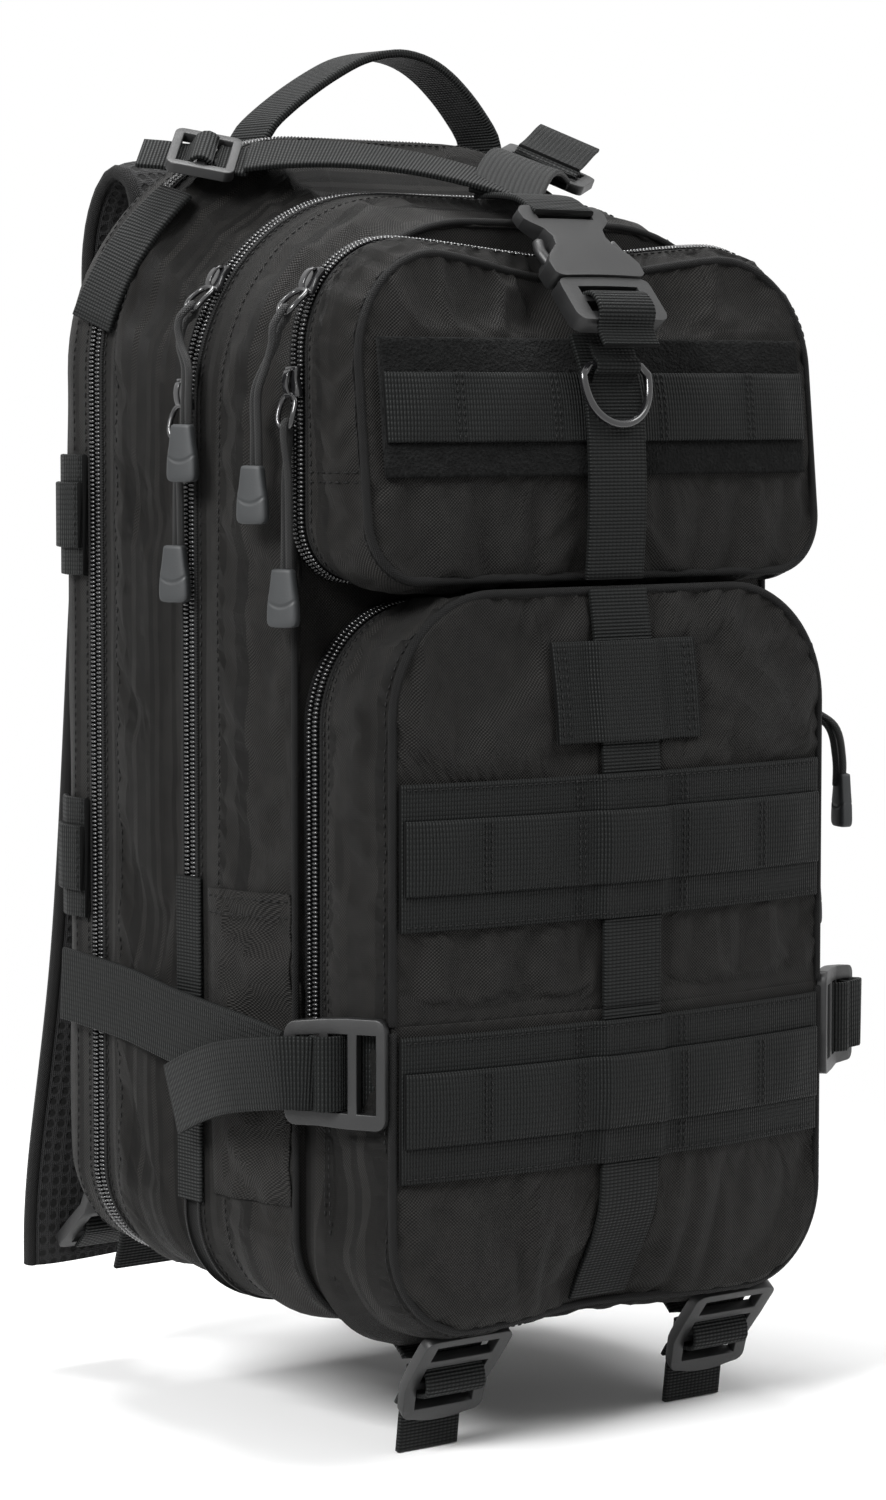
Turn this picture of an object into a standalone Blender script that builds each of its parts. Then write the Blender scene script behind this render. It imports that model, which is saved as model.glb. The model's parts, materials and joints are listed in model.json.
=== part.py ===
"""Trauma backpack with two zipped compartments, two front pockets and webbing straps.

Heights are measured from a level just above the base and depths from the face of the back panel, which
lies at zero, towards the front, which is negative. The whole pack hangs from one empty that puts the
centre of the back panel at the origin.
"""

import math
from typing import NamedTuple

import bmesh
import bpy
from mathutils import Matrix, Vector

# Fits shared by all pieces
GAP = 0.0003
LAY = 0.0011
WALL = 0.003
CORNER_STEPS = 5
SIDE_STEPS = 2
EDGE_STEPS = 5
LEAST_RADIUS = 0.004

# Layers from the back to the front
PAD_DEPTH = 0.008
BACK_DEPTH = 0.028
ZIP_WIDTH = 0.008
MAIN_DEPTH = 0.043
MID_GUSSET_DEPTH = 0.011
MID_DEPTH = 0.050
POCKET_ZIP_WIDTH = 0.011
POCKET_DEPTH = 0.033
ZIP_THICKNESS = 0.003
ZIP_CROWN = 0.0012

# Main compartment
MAIN_HALF_WIDTH = 0.121
MAIN_LOW = 0.004
MAIN_HIGH = 0.433
MAIN_TOP_RADIUS = 0.090
MAIN_BELLY = 0.003
BACK_EDGE = 0.010
VALLEY = 0.007

# Middle compartment
MID_HALF_WIDTH = 0.121
MID_LOW = -0.005
MID_HIGH = 0.409
MID_TOP_RADIUS = 0.080
MID_BELLY = 0.002
MID_FACE_HALF_WIDTH = 0.113
MID_FACE_LOW = -0.007
MID_FACE_HIGH = 0.398
LOW_RADIUS = 0.038

# Upper pocket
UPPER_HALF_WIDTH = 0.115
UPPER_LOW = 0.268
UPPER_HIGH = 0.391
UPPER_RADIUS = 0.042
UPPER_LOW_RADIUS = 0.022
UPPER_TAPER = 0.008
UPPER_SET_BACK = 0.006
UPPER_LEAN = 0.012
UPPER_BULGE = 0.006
UPPER_REACH = 0.055
DENT_BACK = 0.014
DENT_DOWN = 0.010
DENT_HALF_WIDTH = 0.052
DENT_START = 0.065

# Lower pocket
LOWER_HALF_WIDTH = 0.109
LOWER_LOW = -0.004
LOWER_SAG = 0.004
LOWER_HIGH = 0.263
LOWER_REAR_DROP = 0.0038
LOWER_RADIUS = 0.045
LOWER_LOW_RADIUS = 0.036
LOWER_TAPER = 0.0065
LOWER_BULGE = 0.009
LOWER_REACH = 0.090
FLAP_LINE = 0.110
TUCK_BACK = 0.012
TUCK_HALF_WIDTH = 0.035
TUCK_HEIGHT = 0.045

# Back panel and shoulder straps
PAD_HALF_WIDTH = 0.098
PAD_LOW = 0.035
PAD_HIGH = 0.395
PAD_RADIUS = 0.045
STRAP_PAD_WIDTH = 0.056
STRAP_PAD_THICKNESS = 0.011
STRAP_PAD_TOP_X = 0.050
STRAP_PAD_LOW_X = 0.080
STRAP_PAD_REACH = 0.034
STRAP_PAD_LOW = -0.011

# Webbing
WEB_WIDTH = 0.028
WEB_THICKNESS = 0.0022
FRONT_STRAP_WIDTH = 0.027
BAND_THICKNESS = 0.0016
ROW_HEIGHT = 0.053
ROW_UPPER_HEIGHT = 0.170
ROW_LOWER_HEIGHT = 0.0795
LOOP_HEIGHT = 0.050
LOOP_CENTRE_HEIGHT = 0.330
LOOP_HALF_WIDTH = 0.100
UPPER_BAND_WIDTH = 0.025
UPPER_STRAP_LIFT = 0.0055
LOWER_STRAP_LIFT = 0.0049
HANDLE_HALF_SPAN = 0.058
HANDLE_SHIFT = 0.016
HANDLE_RISE = 0.024
HANDLE_WIDTH = 0.025
HANDLE_DEPTH = 0.028

# Hardware
LOCK_LENGTH = 0.037
LOCK_WIDTH = 0.040
LOCK_THICKNESS = 0.0045
LOCK_BAR = 0.0045
TRIGLIDE_LENGTH = 0.026
TRIGLIDE_WIDTH = 0.038
TRIGLIDE_THICKNESS = 0.004
TRIGLIDE_ANGLE = math.radians(57)
TRIGLIDE_DEPTH = 0.057
YOKE_STEM = 0.018
YOKE_STEM_RISE = 0.005
YOKE_LAP = 0.008
YOKE_ARCH = 0.007
YOKE_UP = Vector((0, -0.25, 1))
BUCKLE_HALF_WIDTH = 0.0215
BUCKLE_NECK = 0.0135
BUCKLE_THICKNESS = 0.010
FEMALE_LENGTH = 0.037
MALE_LENGTH = 0.021
PRONG_LENGTH = 0.022
PRONG_THICKNESS = 0.005
BUCKLE_TILT = math.radians(42)
BUCKLE_MOUTH_DEPTH = 0.1900
BUCKLE_MOUTH_HEIGHT = 0.3750
RING_WIDTH = 0.034
RING_DROP = 0.025
RING_WIRE = 0.0032
RING_BELOW_MOUTH = 0.030
RING_HEIGHT = BUCKLE_MOUTH_HEIGHT - RING_BELOW_MOUTH
COMPRESSION_HEIGHT = 0.093
COMPRESSION_RISE = 0.016
LEFT_LOCK_TURN = math.radians(61)
RIGHT_LOCK_TURN = math.radians(38)
RIGHT_LOCK_SEAT = 0.0007
TAIL_LENGTH = 0.060
BOTTOM_STRAP_X = 0.065
BOTTOM_SHIFT = 0.004
BOTTOM_LEAN = math.radians(38)
BOTTOM_DROP = 0.050

# Zip sliders and pulls
SLIDER_LENGTH = 0.011
SLIDER_WIDTH = 0.009
SLIDER_THICKNESS = 0.002
SLIDER_RING = 0.012
SLIDER_LIFT = 0.0028
CORD_RADIUS = 0.0011
PULL_END_LENGTH = 0.020
PULL_END_WIDTH = 0.0115
PULL_END_THICKNESS = 0.0065
MAIN_PULL_LENGTH = 0.060
MID_PULL_LENGTH = 0.050
UPPER_PULL_LENGTH = 0.061
LOWER_PULL_LENGTH = 0.049
PULL_DRIFT = 0.011
PULL_DRIFT_LENGTH = 0.018

# Depths of the layers
Y_BACK = -PAD_DEPTH
Y_MAIN_ZIP = Y_BACK - BACK_DEPTH
Y_MAIN = Y_MAIN_ZIP - ZIP_WIDTH
Y_VALLEY = Y_MAIN - MAIN_DEPTH
Y_MID_ZIP = Y_VALLEY - MID_GUSSET_DEPTH
Y_MID = Y_MID_ZIP - ZIP_WIDTH
Y_MID_FACE = Y_MID - MID_DEPTH
Y_POCKET = Y_MID_FACE - POCKET_ZIP_WIDTH
Y_FRONT = Y_POCKET - POCKET_DEPTH
BACK_CENTRE = (PAD_LOW + PAD_HIGH) / 2


class Outline(NamedTuple):
    """An upright outline with rounded corners, symmetric about the middle of the pack."""

    half_width: float
    low: float
    high: float
    top_radius: float
    low_radius: float

    def inset(self, depth):
        return Outline(
            self.half_width - depth,
            self.low + depth,
            self.high - depth,
            max(self.top_radius - depth, LEAST_RADIUS),
            max(self.low_radius - depth, LEAST_RADIUS),
        )

    def towards(self, other, share):
        return Outline(*(a + (b - a) * share for a, b in zip(self, other)))

    def points(self):
        """Points (x, z) once round, from the middle of the right bottom corner's start."""
        found = []
        corners = (
            (1, self.low + self.low_radius, self.low_radius, -90),
            (1, self.high - self.top_radius, self.top_radius, 0),
            (-1, self.high - self.top_radius, self.top_radius, 90),
            (-1, self.low + self.low_radius, self.low_radius, 180),
        )
        between = (SIDE_STEPS, EDGE_STEPS, SIDE_STEPS, EDGE_STEPS)
        for (side, height, radius, start), steps in zip(corners, between):
            centre = side * (self.half_width - radius)
            for step in range(CORNER_STEPS + 1):
                angle = math.radians(start + 90 * step / CORNER_STEPS)
                found.append((centre + radius * math.cos(angle), height + radius * math.sin(angle)))
            found.extend([None] * steps)
        return fill_between(found)

    def depth_at(self, x, z):
        """How far inside the outline a point lies."""
        upper = z > (self.low + self.high) / 2
        radius = self.top_radius if upper else self.low_radius
        across = abs(x) - self.half_width + radius
        along = (z - self.high if upper else self.low - z) + radius
        outside = math.hypot(max(across, 0), max(along, 0))
        return radius - outside - min(max(across, along), 0)


def fill_between(points):
    """Replaces each run of None by evenly spaced points between its neighbours."""
    count = len(points)
    filled = list(points)
    for index in range(count):
        if points[index] is not None:
            continue
        before = max(i for i in range(index) if points[i] is not None)
        after = next(i for i in range(index, 2 * count) if points[i % count] is not None)
        share = (index - before) / (after - before)
        start = points[before]
        end = points[after % count]
        filled[index] = (start[0] + (end[0] - start[0]) * share, start[1] + (end[1] - start[1]) * share)
    return filled


MAIN = Outline(MAIN_HALF_WIDTH, MAIN_LOW, MAIN_HIGH, MAIN_TOP_RADIUS, LOW_RADIUS)
MID = Outline(MID_HALF_WIDTH, MID_LOW, MID_HIGH, MID_TOP_RADIUS, LOW_RADIUS)
MID_FACE = Outline(MID_FACE_HALF_WIDTH, MID_FACE_LOW, MID_FACE_HIGH, MID_TOP_RADIUS, LOW_RADIUS)
UPPER = Outline(UPPER_HALF_WIDTH, UPPER_LOW, UPPER_HIGH, UPPER_RADIUS, UPPER_LOW_RADIUS)
UPPER_SEAM = Outline(
    UPPER_HALF_WIDTH - UPPER_TAPER, UPPER_LOW, UPPER_HIGH - UPPER_TAPER / 2, UPPER_RADIUS, UPPER_LOW_RADIUS
)
LOWER = Outline(
    LOWER_HALF_WIDTH, LOWER_LOW - LOWER_SAG, LOWER_HIGH - LOWER_REAR_DROP, LOWER_RADIUS, LOWER_LOW_RADIUS
)
LOWER_SEAM = Outline(LOWER_HALF_WIDTH - LOWER_TAPER, LOWER_LOW, LOWER_HIGH, LOWER_RADIUS, LOWER_LOW_RADIUS)
PAD = Outline(PAD_HALF_WIDTH, PAD_LOW, PAD_HIGH, PAD_RADIUS, PAD_RADIUS)


def ease(share):
    share = min(max(share, 0), 1)
    return share * share * (3 - 2 * share)


def swell(share):
    """The round of a stuffed front, from nothing at its seam to one in its middle."""
    return 1 - (1 - min(max(share, 0), 1)) ** 2


def dent(x, z):
    """How far the buckle presses the top of the upper pocket in, from none to one."""
    return ease((z - UPPER_HIGH + DENT_START) / DENT_START) * math.exp(-((x / DENT_HALF_WIDTH) ** 2))


def upper_plain(x, z):
    rise = (z - UPPER_LOW) / (UPPER_HIGH - UPPER_LOW)
    return Y_FRONT + UPPER_SET_BACK + UPPER_LEAN * rise + DENT_BACK * dent(x, z)


def upper_face(x, z):
    return upper_plain(x, z) - UPPER_BULGE * swell(UPPER_SEAM.depth_at(x, z) / UPPER_REACH)


def lower_plain(x, z):
    pulled = ease(1 - (z - LOWER_LOW) / TUCK_HEIGHT) * math.exp(-((x / TUCK_HALF_WIDTH) ** 2))
    return Y_FRONT + TUCK_BACK * pulled


def lower_face(x, z):
    return lower_plain(x, z) - LOWER_BULGE * swell(LOWER_SEAM.depth_at(x, z) / LOWER_REACH)


def ring(outline, depth):
    """The outline's points at one depth, or at the depth that a face function gives."""
    if callable(depth):
        return [Vector((x, depth(x, z), z)) for x, z in outline.points()]
    return [Vector((x, depth, z)) for x, z in outline.points()]


def loft(rings, closed=False):
    """A body through rings of equal point counts, capped at both ends or joined end to end."""
    bm = bmesh.new()
    loops = [[bm.verts.new(point) for point in points] for points in rings]
    pairs = list(zip(loops, loops[1:]))
    if closed:
        pairs.append((loops[-1], loops[0]))
    else:
        bm.faces.new(loops[0])
        bm.faces.new(loops[-1])
    for first, second in pairs:
        for index in range(len(first)):
            after = (index + 1) % len(first)
            bm.faces.new((first[index], first[after], second[after], second[index]))
    bmesh.ops.recalc_face_normals(bm, faces=bm.faces)
    return bm


def keep(bm, height, above):
    """Cuts the body level at a height, keeps one side and closes the cut."""
    geometry = bm.verts[:] + bm.edges[:] + bm.faces[:]
    bmesh.ops.bisect_plane(
        bm,
        geom=geometry,
        plane_co=(0, 0, height),
        plane_no=(0, 0, 1),
        clear_inner=above,
        clear_outer=not above,
    )
    rim = [edge for edge in bm.edges if edge.is_boundary]
    bmesh.ops.holes_fill(bm, edges=rim, sides=0)
    bmesh.ops.recalc_face_normals(bm, faces=bm.faces)
    return bm


def zip_band(outline, rear, front, shift=None):
    """A zip all round an outline: a tape with a raised coil along its middle."""
    middle = (rear + front) / 2
    coil = ZIP_WIDTH / 5
    profile = (
        (0, rear),
        (0, middle + coil),
        (-ZIP_CROWN, middle + coil / 2),
        (-ZIP_CROWN, middle - coil / 2),
        (0, middle - coil),
        (0, front),
        (ZIP_THICKNESS, front),
        (ZIP_THICKNESS, rear),
    )
    rings = [ring(outline.inset(depth), y) for depth, y in profile]
    if shift:
        rings = [[shift(point) for point in points] for points in rings]
    return loft(rings, closed=True)


def slab(columns, rows, face, lift):
    """Webbing laid on a curved front. Each row is a height and the thickness there."""
    rings = []
    for x in columns:
        rear = [Vector((x, face(x, z) - lift, z)) for z, _ in rows]
        front = [Vector((x, face(x, z) - lift - thickness, z)) for z, thickness in reversed(rows)]
        rings.append(rear + front)
    return loft(rings)


def spaced(first, last, steps):
    return [first + (last - first) * step / steps for step in range(steps + 1)]


def ribbon(path, width, thickness):
    """A flat strap along a path of (point, outward normal), lying on the outer side of its path."""
    rings = []
    for index, (point, normal) in enumerate(path):
        before = path[max(index - 1, 0)][0]
        after = path[min(index + 1, len(path) - 1)][0]
        along = (after - before).normalized()
        across = along.cross(normal).normalized() * (width / 2)
        outward = across.cross(along).normalized() * thickness
        rings.append([point - across, point + across, point + across + outward, point - across + outward])
    return loft(rings)


def tube(path, radius, sides, closed=False):
    """A round bar along a path."""
    count = len(path)
    rings = []
    side = None
    for index, point in enumerate(path):
        before = path[(index - 1) % count] if closed or index else point
        after = path[(index + 1) % count] if closed or index < count - 1 else point
        along = (after - before).normalized()
        if side is None:
            side = along.orthogonal().normalized()
        side = (side - along * side.dot(along)).normalized()
        other = along.cross(side)
        turns = [math.tau * step / sides for step in range(sides)]
        rings.append([point + (side * math.cos(turn) + other * math.sin(turn)) * radius for turn in turns])
    return loft(rings, closed)


def rounded(half_length, half_width, radius, steps=3):
    """A rounded rectangle of points (along, across)."""
    found = []
    for index, (a, b) in enumerate(((1, -1), (1, 1), (-1, 1), (-1, -1))):
        for step in range(steps + 1):
            angle = math.radians(-90 + 90 * index + 90 * step / steps)
            found.append(
                (
                    a * (half_length - radius) + radius * math.cos(angle),
                    b * (half_width - radius) + radius * math.sin(angle),
                )
            )
    return found


def plate(outline, holes, low, high):
    """A flat piece with openings, from one level to the other."""
    bm = bmesh.new()
    for loop in (outline, *holes):
        verts = [bm.verts.new((a, b, low)) for a, b in loop]
        for first, second in zip(verts, verts[1:] + verts[:1]):
            bm.edges.new((first, second))
    bmesh.ops.triangle_fill(bm, edges=bm.edges[:], use_beauty=True)
    grown = bmesh.ops.extrude_face_region(bm, geom=bm.faces[:], use_keep_orig=True)
    raised = [item for item in grown["geom"] if isinstance(item, bmesh.types.BMVert)]
    bmesh.ops.translate(bm, verts=raised, vec=(0, 0, high - low))
    bmesh.ops.recalc_face_normals(bm, faces=bm.faces)
    return bm


def frame_at(point, along, outward):
    """Places a flat piece: its length along one direction and its top face outward."""
    along = along.normalized()
    outward = (outward - along * outward.dot(along)).normalized()
    across = outward.cross(along)
    turn = Matrix((along, across, outward)).transposed().to_4x4()
    return Matrix.Translation(point) @ turn


def material(name, colour, roughness, metallic=0.0):
    made = bpy.data.materials.new(name)
    made.use_nodes = True
    shader = made.node_tree.nodes["Principled BSDF"]
    shader.inputs["Base Color"].default_value = (*colour, 1)
    shader.inputs["Roughness"].default_value = roughness
    shader.inputs["Metallic"].default_value = metallic
    return made


for old in list(bpy.data.objects):
    bpy.data.objects.remove(old)

FABRIC = material("woven fabric", (0.022, 0.021, 0.020), 0.85)
WEBBING = material("webbing", (0.018, 0.020, 0.020), 0.7)
LOOP = material("loop pile", (0.014, 0.014, 0.014), 0.95)
MESH = material("air mesh", (0.030, 0.030, 0.031), 0.9)
ZIP = material("zip coil", (0.020, 0.020, 0.021), 0.45)
PLASTIC = material("moulded plastic", (0.017, 0.017, 0.018), 0.42)
METAL = material("black metal", (0.040, 0.040, 0.042), 0.25, 1.0)
GREY = material("grey moulding", (0.090, 0.090, 0.092), 0.5)

PLACES = {}


def pivot(name, at=(0, 0, 0), parent=None):
    """An empty on a joint's axis, placed in the pack's own heights and depths."""
    empty = bpy.data.objects.new(name, None)
    bpy.context.collection.objects.link(empty)
    empty.empty_display_size = 0.02
    empty.parent = parent
    empty.location = Vector(at) - (PLACES[parent.name] if parent else Vector())
    PLACES[name] = Vector(at)
    return empty


def piece(name, bm, surface, holder, sharp=35):
    """Turns a body into a named object carried by an empty."""
    bmesh.ops.transform(bm, matrix=Matrix.Translation(-PLACES[holder.name]), verts=bm.verts)
    data = bpy.data.meshes.new(name)
    bm.to_mesh(data)
    bm.free()
    data.materials.append(surface)
    data.shade_smooth()
    data.set_sharp_from_angle(angle=math.radians(sharp))
    made = bpy.data.objects.new(name, data)
    bpy.context.collection.objects.link(made)
    made.parent = holder
    return made


def combine(target, other, operation):
    """Cuts or joins a hidden helper with a piece."""
    other.hide_render = True
    other.display_type = "WIRE"
    change = target.modifiers.new(operation.title(), "BOOLEAN")
    change.operation = operation
    change.object = other
    change.solver = "EXACT"


def ease_edges(target, width):
    change = target.modifiers.new("Bevel", "BEVEL")
    change.width = width
    change.segments = 1
    change.limit_method = "ANGLE"
    change.angle_limit = math.radians(40)


pack = pivot("pack")
pack.location = (0, 0, -BACK_CENTRE)

# Hinges of the two compartments lie just outside their zips' rear lower edges.
main_open = pivot("main_open", (0, Y_MAIN_ZIP, MAIN_LOW - 2 * ZIP_CROWN), pack)
mid_open = pivot("mid_open", (0, Y_MID_ZIP, MID_LOW - 2 * ZIP_CROWN), main_open)

# Back shell: a padded tray with its open side forward.
piece(
    "back_shell",
    loft(
        [
            ring(MAIN.inset(BACK_EDGE + WALL), Y_BACK - WALL),
            ring(MAIN.inset(WALL + 0.001), Y_BACK - BACK_DEPTH / 2),
            ring(MAIN.inset(WALL), Y_MAIN_ZIP + GAP),
            ring(MAIN, Y_MAIN_ZIP + GAP),
            ring(MAIN.inset(0.0005), Y_BACK - BACK_DEPTH / 2),
            ring(MAIN.inset(BACK_EDGE / 2), Y_BACK - BACK_DEPTH / 8),
            ring(MAIN.inset(BACK_EDGE), Y_BACK),
        ]
    ),
    FABRIC,
    pack,
)
piece(
    "back_pad",
    loft(
        [
            ring(PAD, Y_BACK + GAP),
            ring(PAD, -PAD_DEPTH / 4),
            ring(PAD.inset(0.002), 0.0),
        ]
    ),
    MESH,
    pack,
)

# Main front shell: a wall with a rim on both sides, one for each zip.
valley = MAIN.towards(MID, 0.9).inset(VALLEY)
belly = MAIN.towards(MID, 0.15).inset(-MAIN_BELLY)
shoulder = MAIN.towards(MID, 0.6)
piece(
    "main_shell",
    loft(
        [
            ring(valley.inset(WALL), Y_VALLEY + WALL / 2),
            ring(belly.inset(WALL), Y_MAIN - MAIN_DEPTH * 0.4),
            ring(MAIN.inset(WALL), Y_MAIN - GAP),
            ring(MAIN, Y_MAIN - GAP),
            ring(belly, Y_MAIN - MAIN_DEPTH * 0.4),
            ring(shoulder, Y_MAIN - MAIN_DEPTH * 0.75),
            ring(valley, Y_VALLEY),
            ring(MID.inset(0.001), Y_MID_ZIP + GAP),
            ring(MID.inset(0.001 + WALL), Y_MID_ZIP + GAP),
            ring(valley.inset(WALL), Y_VALLEY - WALL / 2),
        ]
    ),
    FABRIC,
    main_open,
)
piece("main_zip", zip_band(MAIN, Y_MAIN_ZIP, Y_MAIN), ZIP, main_open)

# Middle shell: a tray with its open side to the rear and the pockets on its front.
mid_belly = MID.towards(MID_FACE, 0.3).inset(-MID_BELLY)
mid_edge = MID.towards(MID_FACE, 0.8)
piece(
    "mid_shell",
    loft(
        [
            ring(MID_FACE.inset(WALL), Y_MID_FACE + WALL),
            ring(mid_belly.inset(WALL), Y_MID - MID_DEPTH * 0.45),
            ring(MID.inset(WALL), Y_MID - GAP),
            ring(MID, Y_MID - GAP),
            ring(mid_belly, Y_MID - MID_DEPTH * 0.45),
            ring(mid_edge, Y_MID - MID_DEPTH * 0.88),
            ring(MID_FACE, Y_MID_FACE),
        ]
    ),
    FABRIC,
    mid_open,
)
piece("mid_zip", zip_band(MID, Y_MID_ZIP, Y_MID), ZIP, mid_open)

# Lower pocket: a sewn base and a flap that opens forward about the line between them.
flap_axis_depth = Y_FRONT - LOWER_BULGE - LOWER_STRAP_LIFT - 2 * WEB_THICKNESS
lower_open = pivot("lower_open", (0, flap_axis_depth, FLAP_LINE), mid_open)


def lower_inner(x, z):
    return lower_plain(x, z) + WALL


def lower_tray(rim):
    """The lower pocket as a whole, with its open side at a given depth."""
    return loft(
        [
            ring(LOWER_SEAM.inset(0.040), lower_inner),
            ring(LOWER_SEAM.inset(WALL), lower_inner),
            ring(LOWER.inset(WALL), rim),
            ring(LOWER, rim),
            ring(LOWER.towards(LOWER_SEAM, 0.4).inset(-0.001), Y_POCKET - POCKET_DEPTH / 2),
            ring(LOWER_SEAM, lower_face),
            ring(LOWER_SEAM.inset(0.004), lower_face),
            ring(LOWER_SEAM.inset(0.012), lower_face),
            ring(LOWER_SEAM.inset(0.026), lower_face),
            ring(LOWER_SEAM.inset(0.050), lower_face),
            ring(LOWER_SEAM.inset(0.080), lower_face),
        ]
    )


piece("pocket_base", keep(lower_tray(Y_MID_FACE - GAP), FLAP_LINE - GAP / 2, False), FABRIC, mid_open)
piece("pocket_flap", keep(lower_tray(Y_POCKET - GAP), FLAP_LINE + GAP / 2, True), FABRIC, lower_open)
piece(
    "lower_zip",
    keep(zip_band(LOWER, Y_MID_FACE - GAP, Y_POCKET), FLAP_LINE + GAP / 2, True),
    ZIP,
    mid_open,
)

# Rows of webbing across the lower pocket: a base band with a narrower band over its middle.
row_edge = 0.0004
row_columns = spaced(-LOWER_SEAM.half_width + 0.002, LOWER_SEAM.half_width - 0.002, 14)


def row(height):
    half = ROW_HEIGHT / 2
    narrow = WEB_WIDTH / 2
    double = 2 * BAND_THICKNESS
    return (
        (height - half, BAND_THICKNESS),
        (height - narrow - row_edge, BAND_THICKNESS),
        (height - narrow, double),
        (height, double),
        (height + narrow, double),
        (height + narrow + row_edge, BAND_THICKNESS),
        (height + half, BAND_THICKNESS),
    )


piece("row_upper", slab(row_columns, row(ROW_UPPER_HEIGHT), lower_face, LAY), WEBBING, lower_open)
piece("row_lower", slab(row_columns, row(ROW_LOWER_HEIGHT), lower_face, LAY), WEBBING, mid_open)

# Upper pocket: opens forward about its lower front edge.
upper_axis_depth = Y_FRONT + UPPER_SET_BACK - UPPER_BULGE - UPPER_STRAP_LIFT - WEB_THICKNESS
upper_axis_height = (UPPER_LOW + LOWER_HIGH) / 2
upper_open = pivot("upper_open", (0, upper_axis_depth, upper_axis_height), mid_open)


def pressed(share):
    """Moves points of the upper pocket down where the buckle lies over them."""

    def move(point):
        return point - Vector((0, 0, DENT_DOWN * share * dent(point.x, point.z)))

    return move


def upper_inner(x, z):
    return upper_plain(x, z) + WALL


def upper_gusset(x, z):
    return Y_POCKET + (upper_plain(x, z) - Y_POCKET) * 0.45


upper_rings = (
    (UPPER_SEAM.inset(0.038), upper_inner, 1),
    (UPPER_SEAM.inset(WALL), upper_inner, 1),
    (UPPER.inset(WALL), Y_POCKET - GAP, 0.6),
    (UPPER, Y_POCKET - GAP, 0.6),
    (UPPER.towards(UPPER_SEAM, 0.4).inset(-0.001), upper_gusset, 0.8),
    (UPPER_SEAM, upper_face, 1),
    (UPPER_SEAM.inset(0.004), upper_face, 1),
    (UPPER_SEAM.inset(0.012), upper_face, 1),
    (UPPER_SEAM.inset(0.024), upper_face, 1),
    (UPPER_SEAM.inset(0.042), upper_face, 1),
)
piece(
    "upper_pocket",
    loft(
        [
            [pressed(share)(point) for point in ring(outline, depth)]
            for outline, depth, share in upper_rings
        ]
    ),
    FABRIC,
    upper_open,
)
piece("upper_zip", zip_band(UPPER, Y_MID_FACE - GAP, Y_POCKET, pressed(0.6)), ZIP, upper_open)

loop_columns = spaced(-LOOP_HALF_WIDTH, LOOP_HALF_WIDTH, 16)
loop_low = LOOP_CENTRE_HEIGHT - LOOP_HEIGHT / 2
loop_rows = [(height, BAND_THICKNESS) for height in spaced(loop_low, loop_low + LOOP_HEIGHT, 4)]
piece("loop_panel", slab(loop_columns, loop_rows, upper_face, LAY), LOOP, upper_open)
band_low = LOOP_CENTRE_HEIGHT - UPPER_BAND_WIDTH / 2
band_rows = [(height, BAND_THICKNESS) for height in spaced(band_low, band_low + UPPER_BAND_WIDTH, 2)]
band_lift = LAY + 2 * GAP + BAND_THICKNESS
piece("upper_band", slab(loop_columns, band_rows, upper_face, band_lift), WEBBING, upper_open)

# Side-release buckle over the top edge of the upper pocket.
buckle_up = Vector((0, math.sin(BUCKLE_TILT), math.cos(BUCKLE_TILT)))
buckle_out = Vector((0, -math.cos(BUCKLE_TILT), math.sin(BUCKLE_TILT)))
buckle_mouth = Vector((0, -BUCKLE_MOUTH_DEPTH, BUCKLE_MOUTH_HEIGHT))
buckle_place = frame_at(buckle_mouth, buckle_up, buckle_out)
buckle_release = pivot("buckle_release", buckle_mouth, upper_open)
half_buckle = BUCKLE_THICKNESS / 2
slot_half = WEB_WIDTH / 2 + GAP


def mirrored(half):
    """Closes a half outline of (along, across) points over to its other side."""
    return half + [(along, -across) for along, across in reversed(half)]


def box(a0, a1, b0, b1):
    return [(a0, b0), (a1, b0), (a1, b1), (a0, b1)]


female_half = [
    (0, BUCKLE_HALF_WIDTH - 0.002),
    (0.002, BUCKLE_HALF_WIDTH),
    (FEMALE_LENGTH * 0.20, BUCKLE_HALF_WIDTH),
    (FEMALE_LENGTH * 0.30, BUCKLE_HALF_WIDTH - 0.003),
    (FEMALE_LENGTH * 0.42, BUCKLE_NECK + 0.0012),
    (FEMALE_LENGTH * 0.55, BUCKLE_NECK),
    (FEMALE_LENGTH * 0.66, BUCKLE_NECK + 0.0015),
    (FEMALE_LENGTH * 0.74, BUCKLE_HALF_WIDTH - 0.0035),
    (FEMALE_LENGTH * 0.82, BUCKLE_HALF_WIDTH - 0.001),
    (FEMALE_LENGTH - 0.003, BUCKLE_HALF_WIDTH - 0.001),
    (FEMALE_LENGTH, BUCKLE_HALF_WIDTH - 0.004),
]
female_slot = box(FEMALE_LENGTH * 0.79, FEMALE_LENGTH - 0.0035, -slot_half, slot_half)
female = plate(mirrored(female_half), [female_slot], -half_buckle, half_buckle)
for vert in female.verts:
    # The bar end is thinner than the mouth.
    thin = 1 - 0.45 * ease((vert.co.x - FEMALE_LENGTH * 0.25) / (FEMALE_LENGTH * 0.6))
    vert.co.z *= thin
bmesh.ops.transform(female, matrix=buckle_place, verts=female.verts)
buckle_female = piece("buckle_female", female, PLASTIC, upper_open)
prong_half = BUCKLE_HALF_WIDTH - 0.003
socket_length = PRONG_LENGTH + 0.002
socket_half = PRONG_THICKNESS / 2 + GAP
socket_outline = box(-0.002, socket_length, -prong_half - GAP, prong_half + GAP)
socket = plate(socket_outline, [], -socket_half, socket_half)
bmesh.ops.transform(socket, matrix=buckle_place, verts=socket.verts)
combine(buckle_female, piece("socket_cut", socket, PLASTIC, upper_open), "DIFFERENCE")

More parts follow.
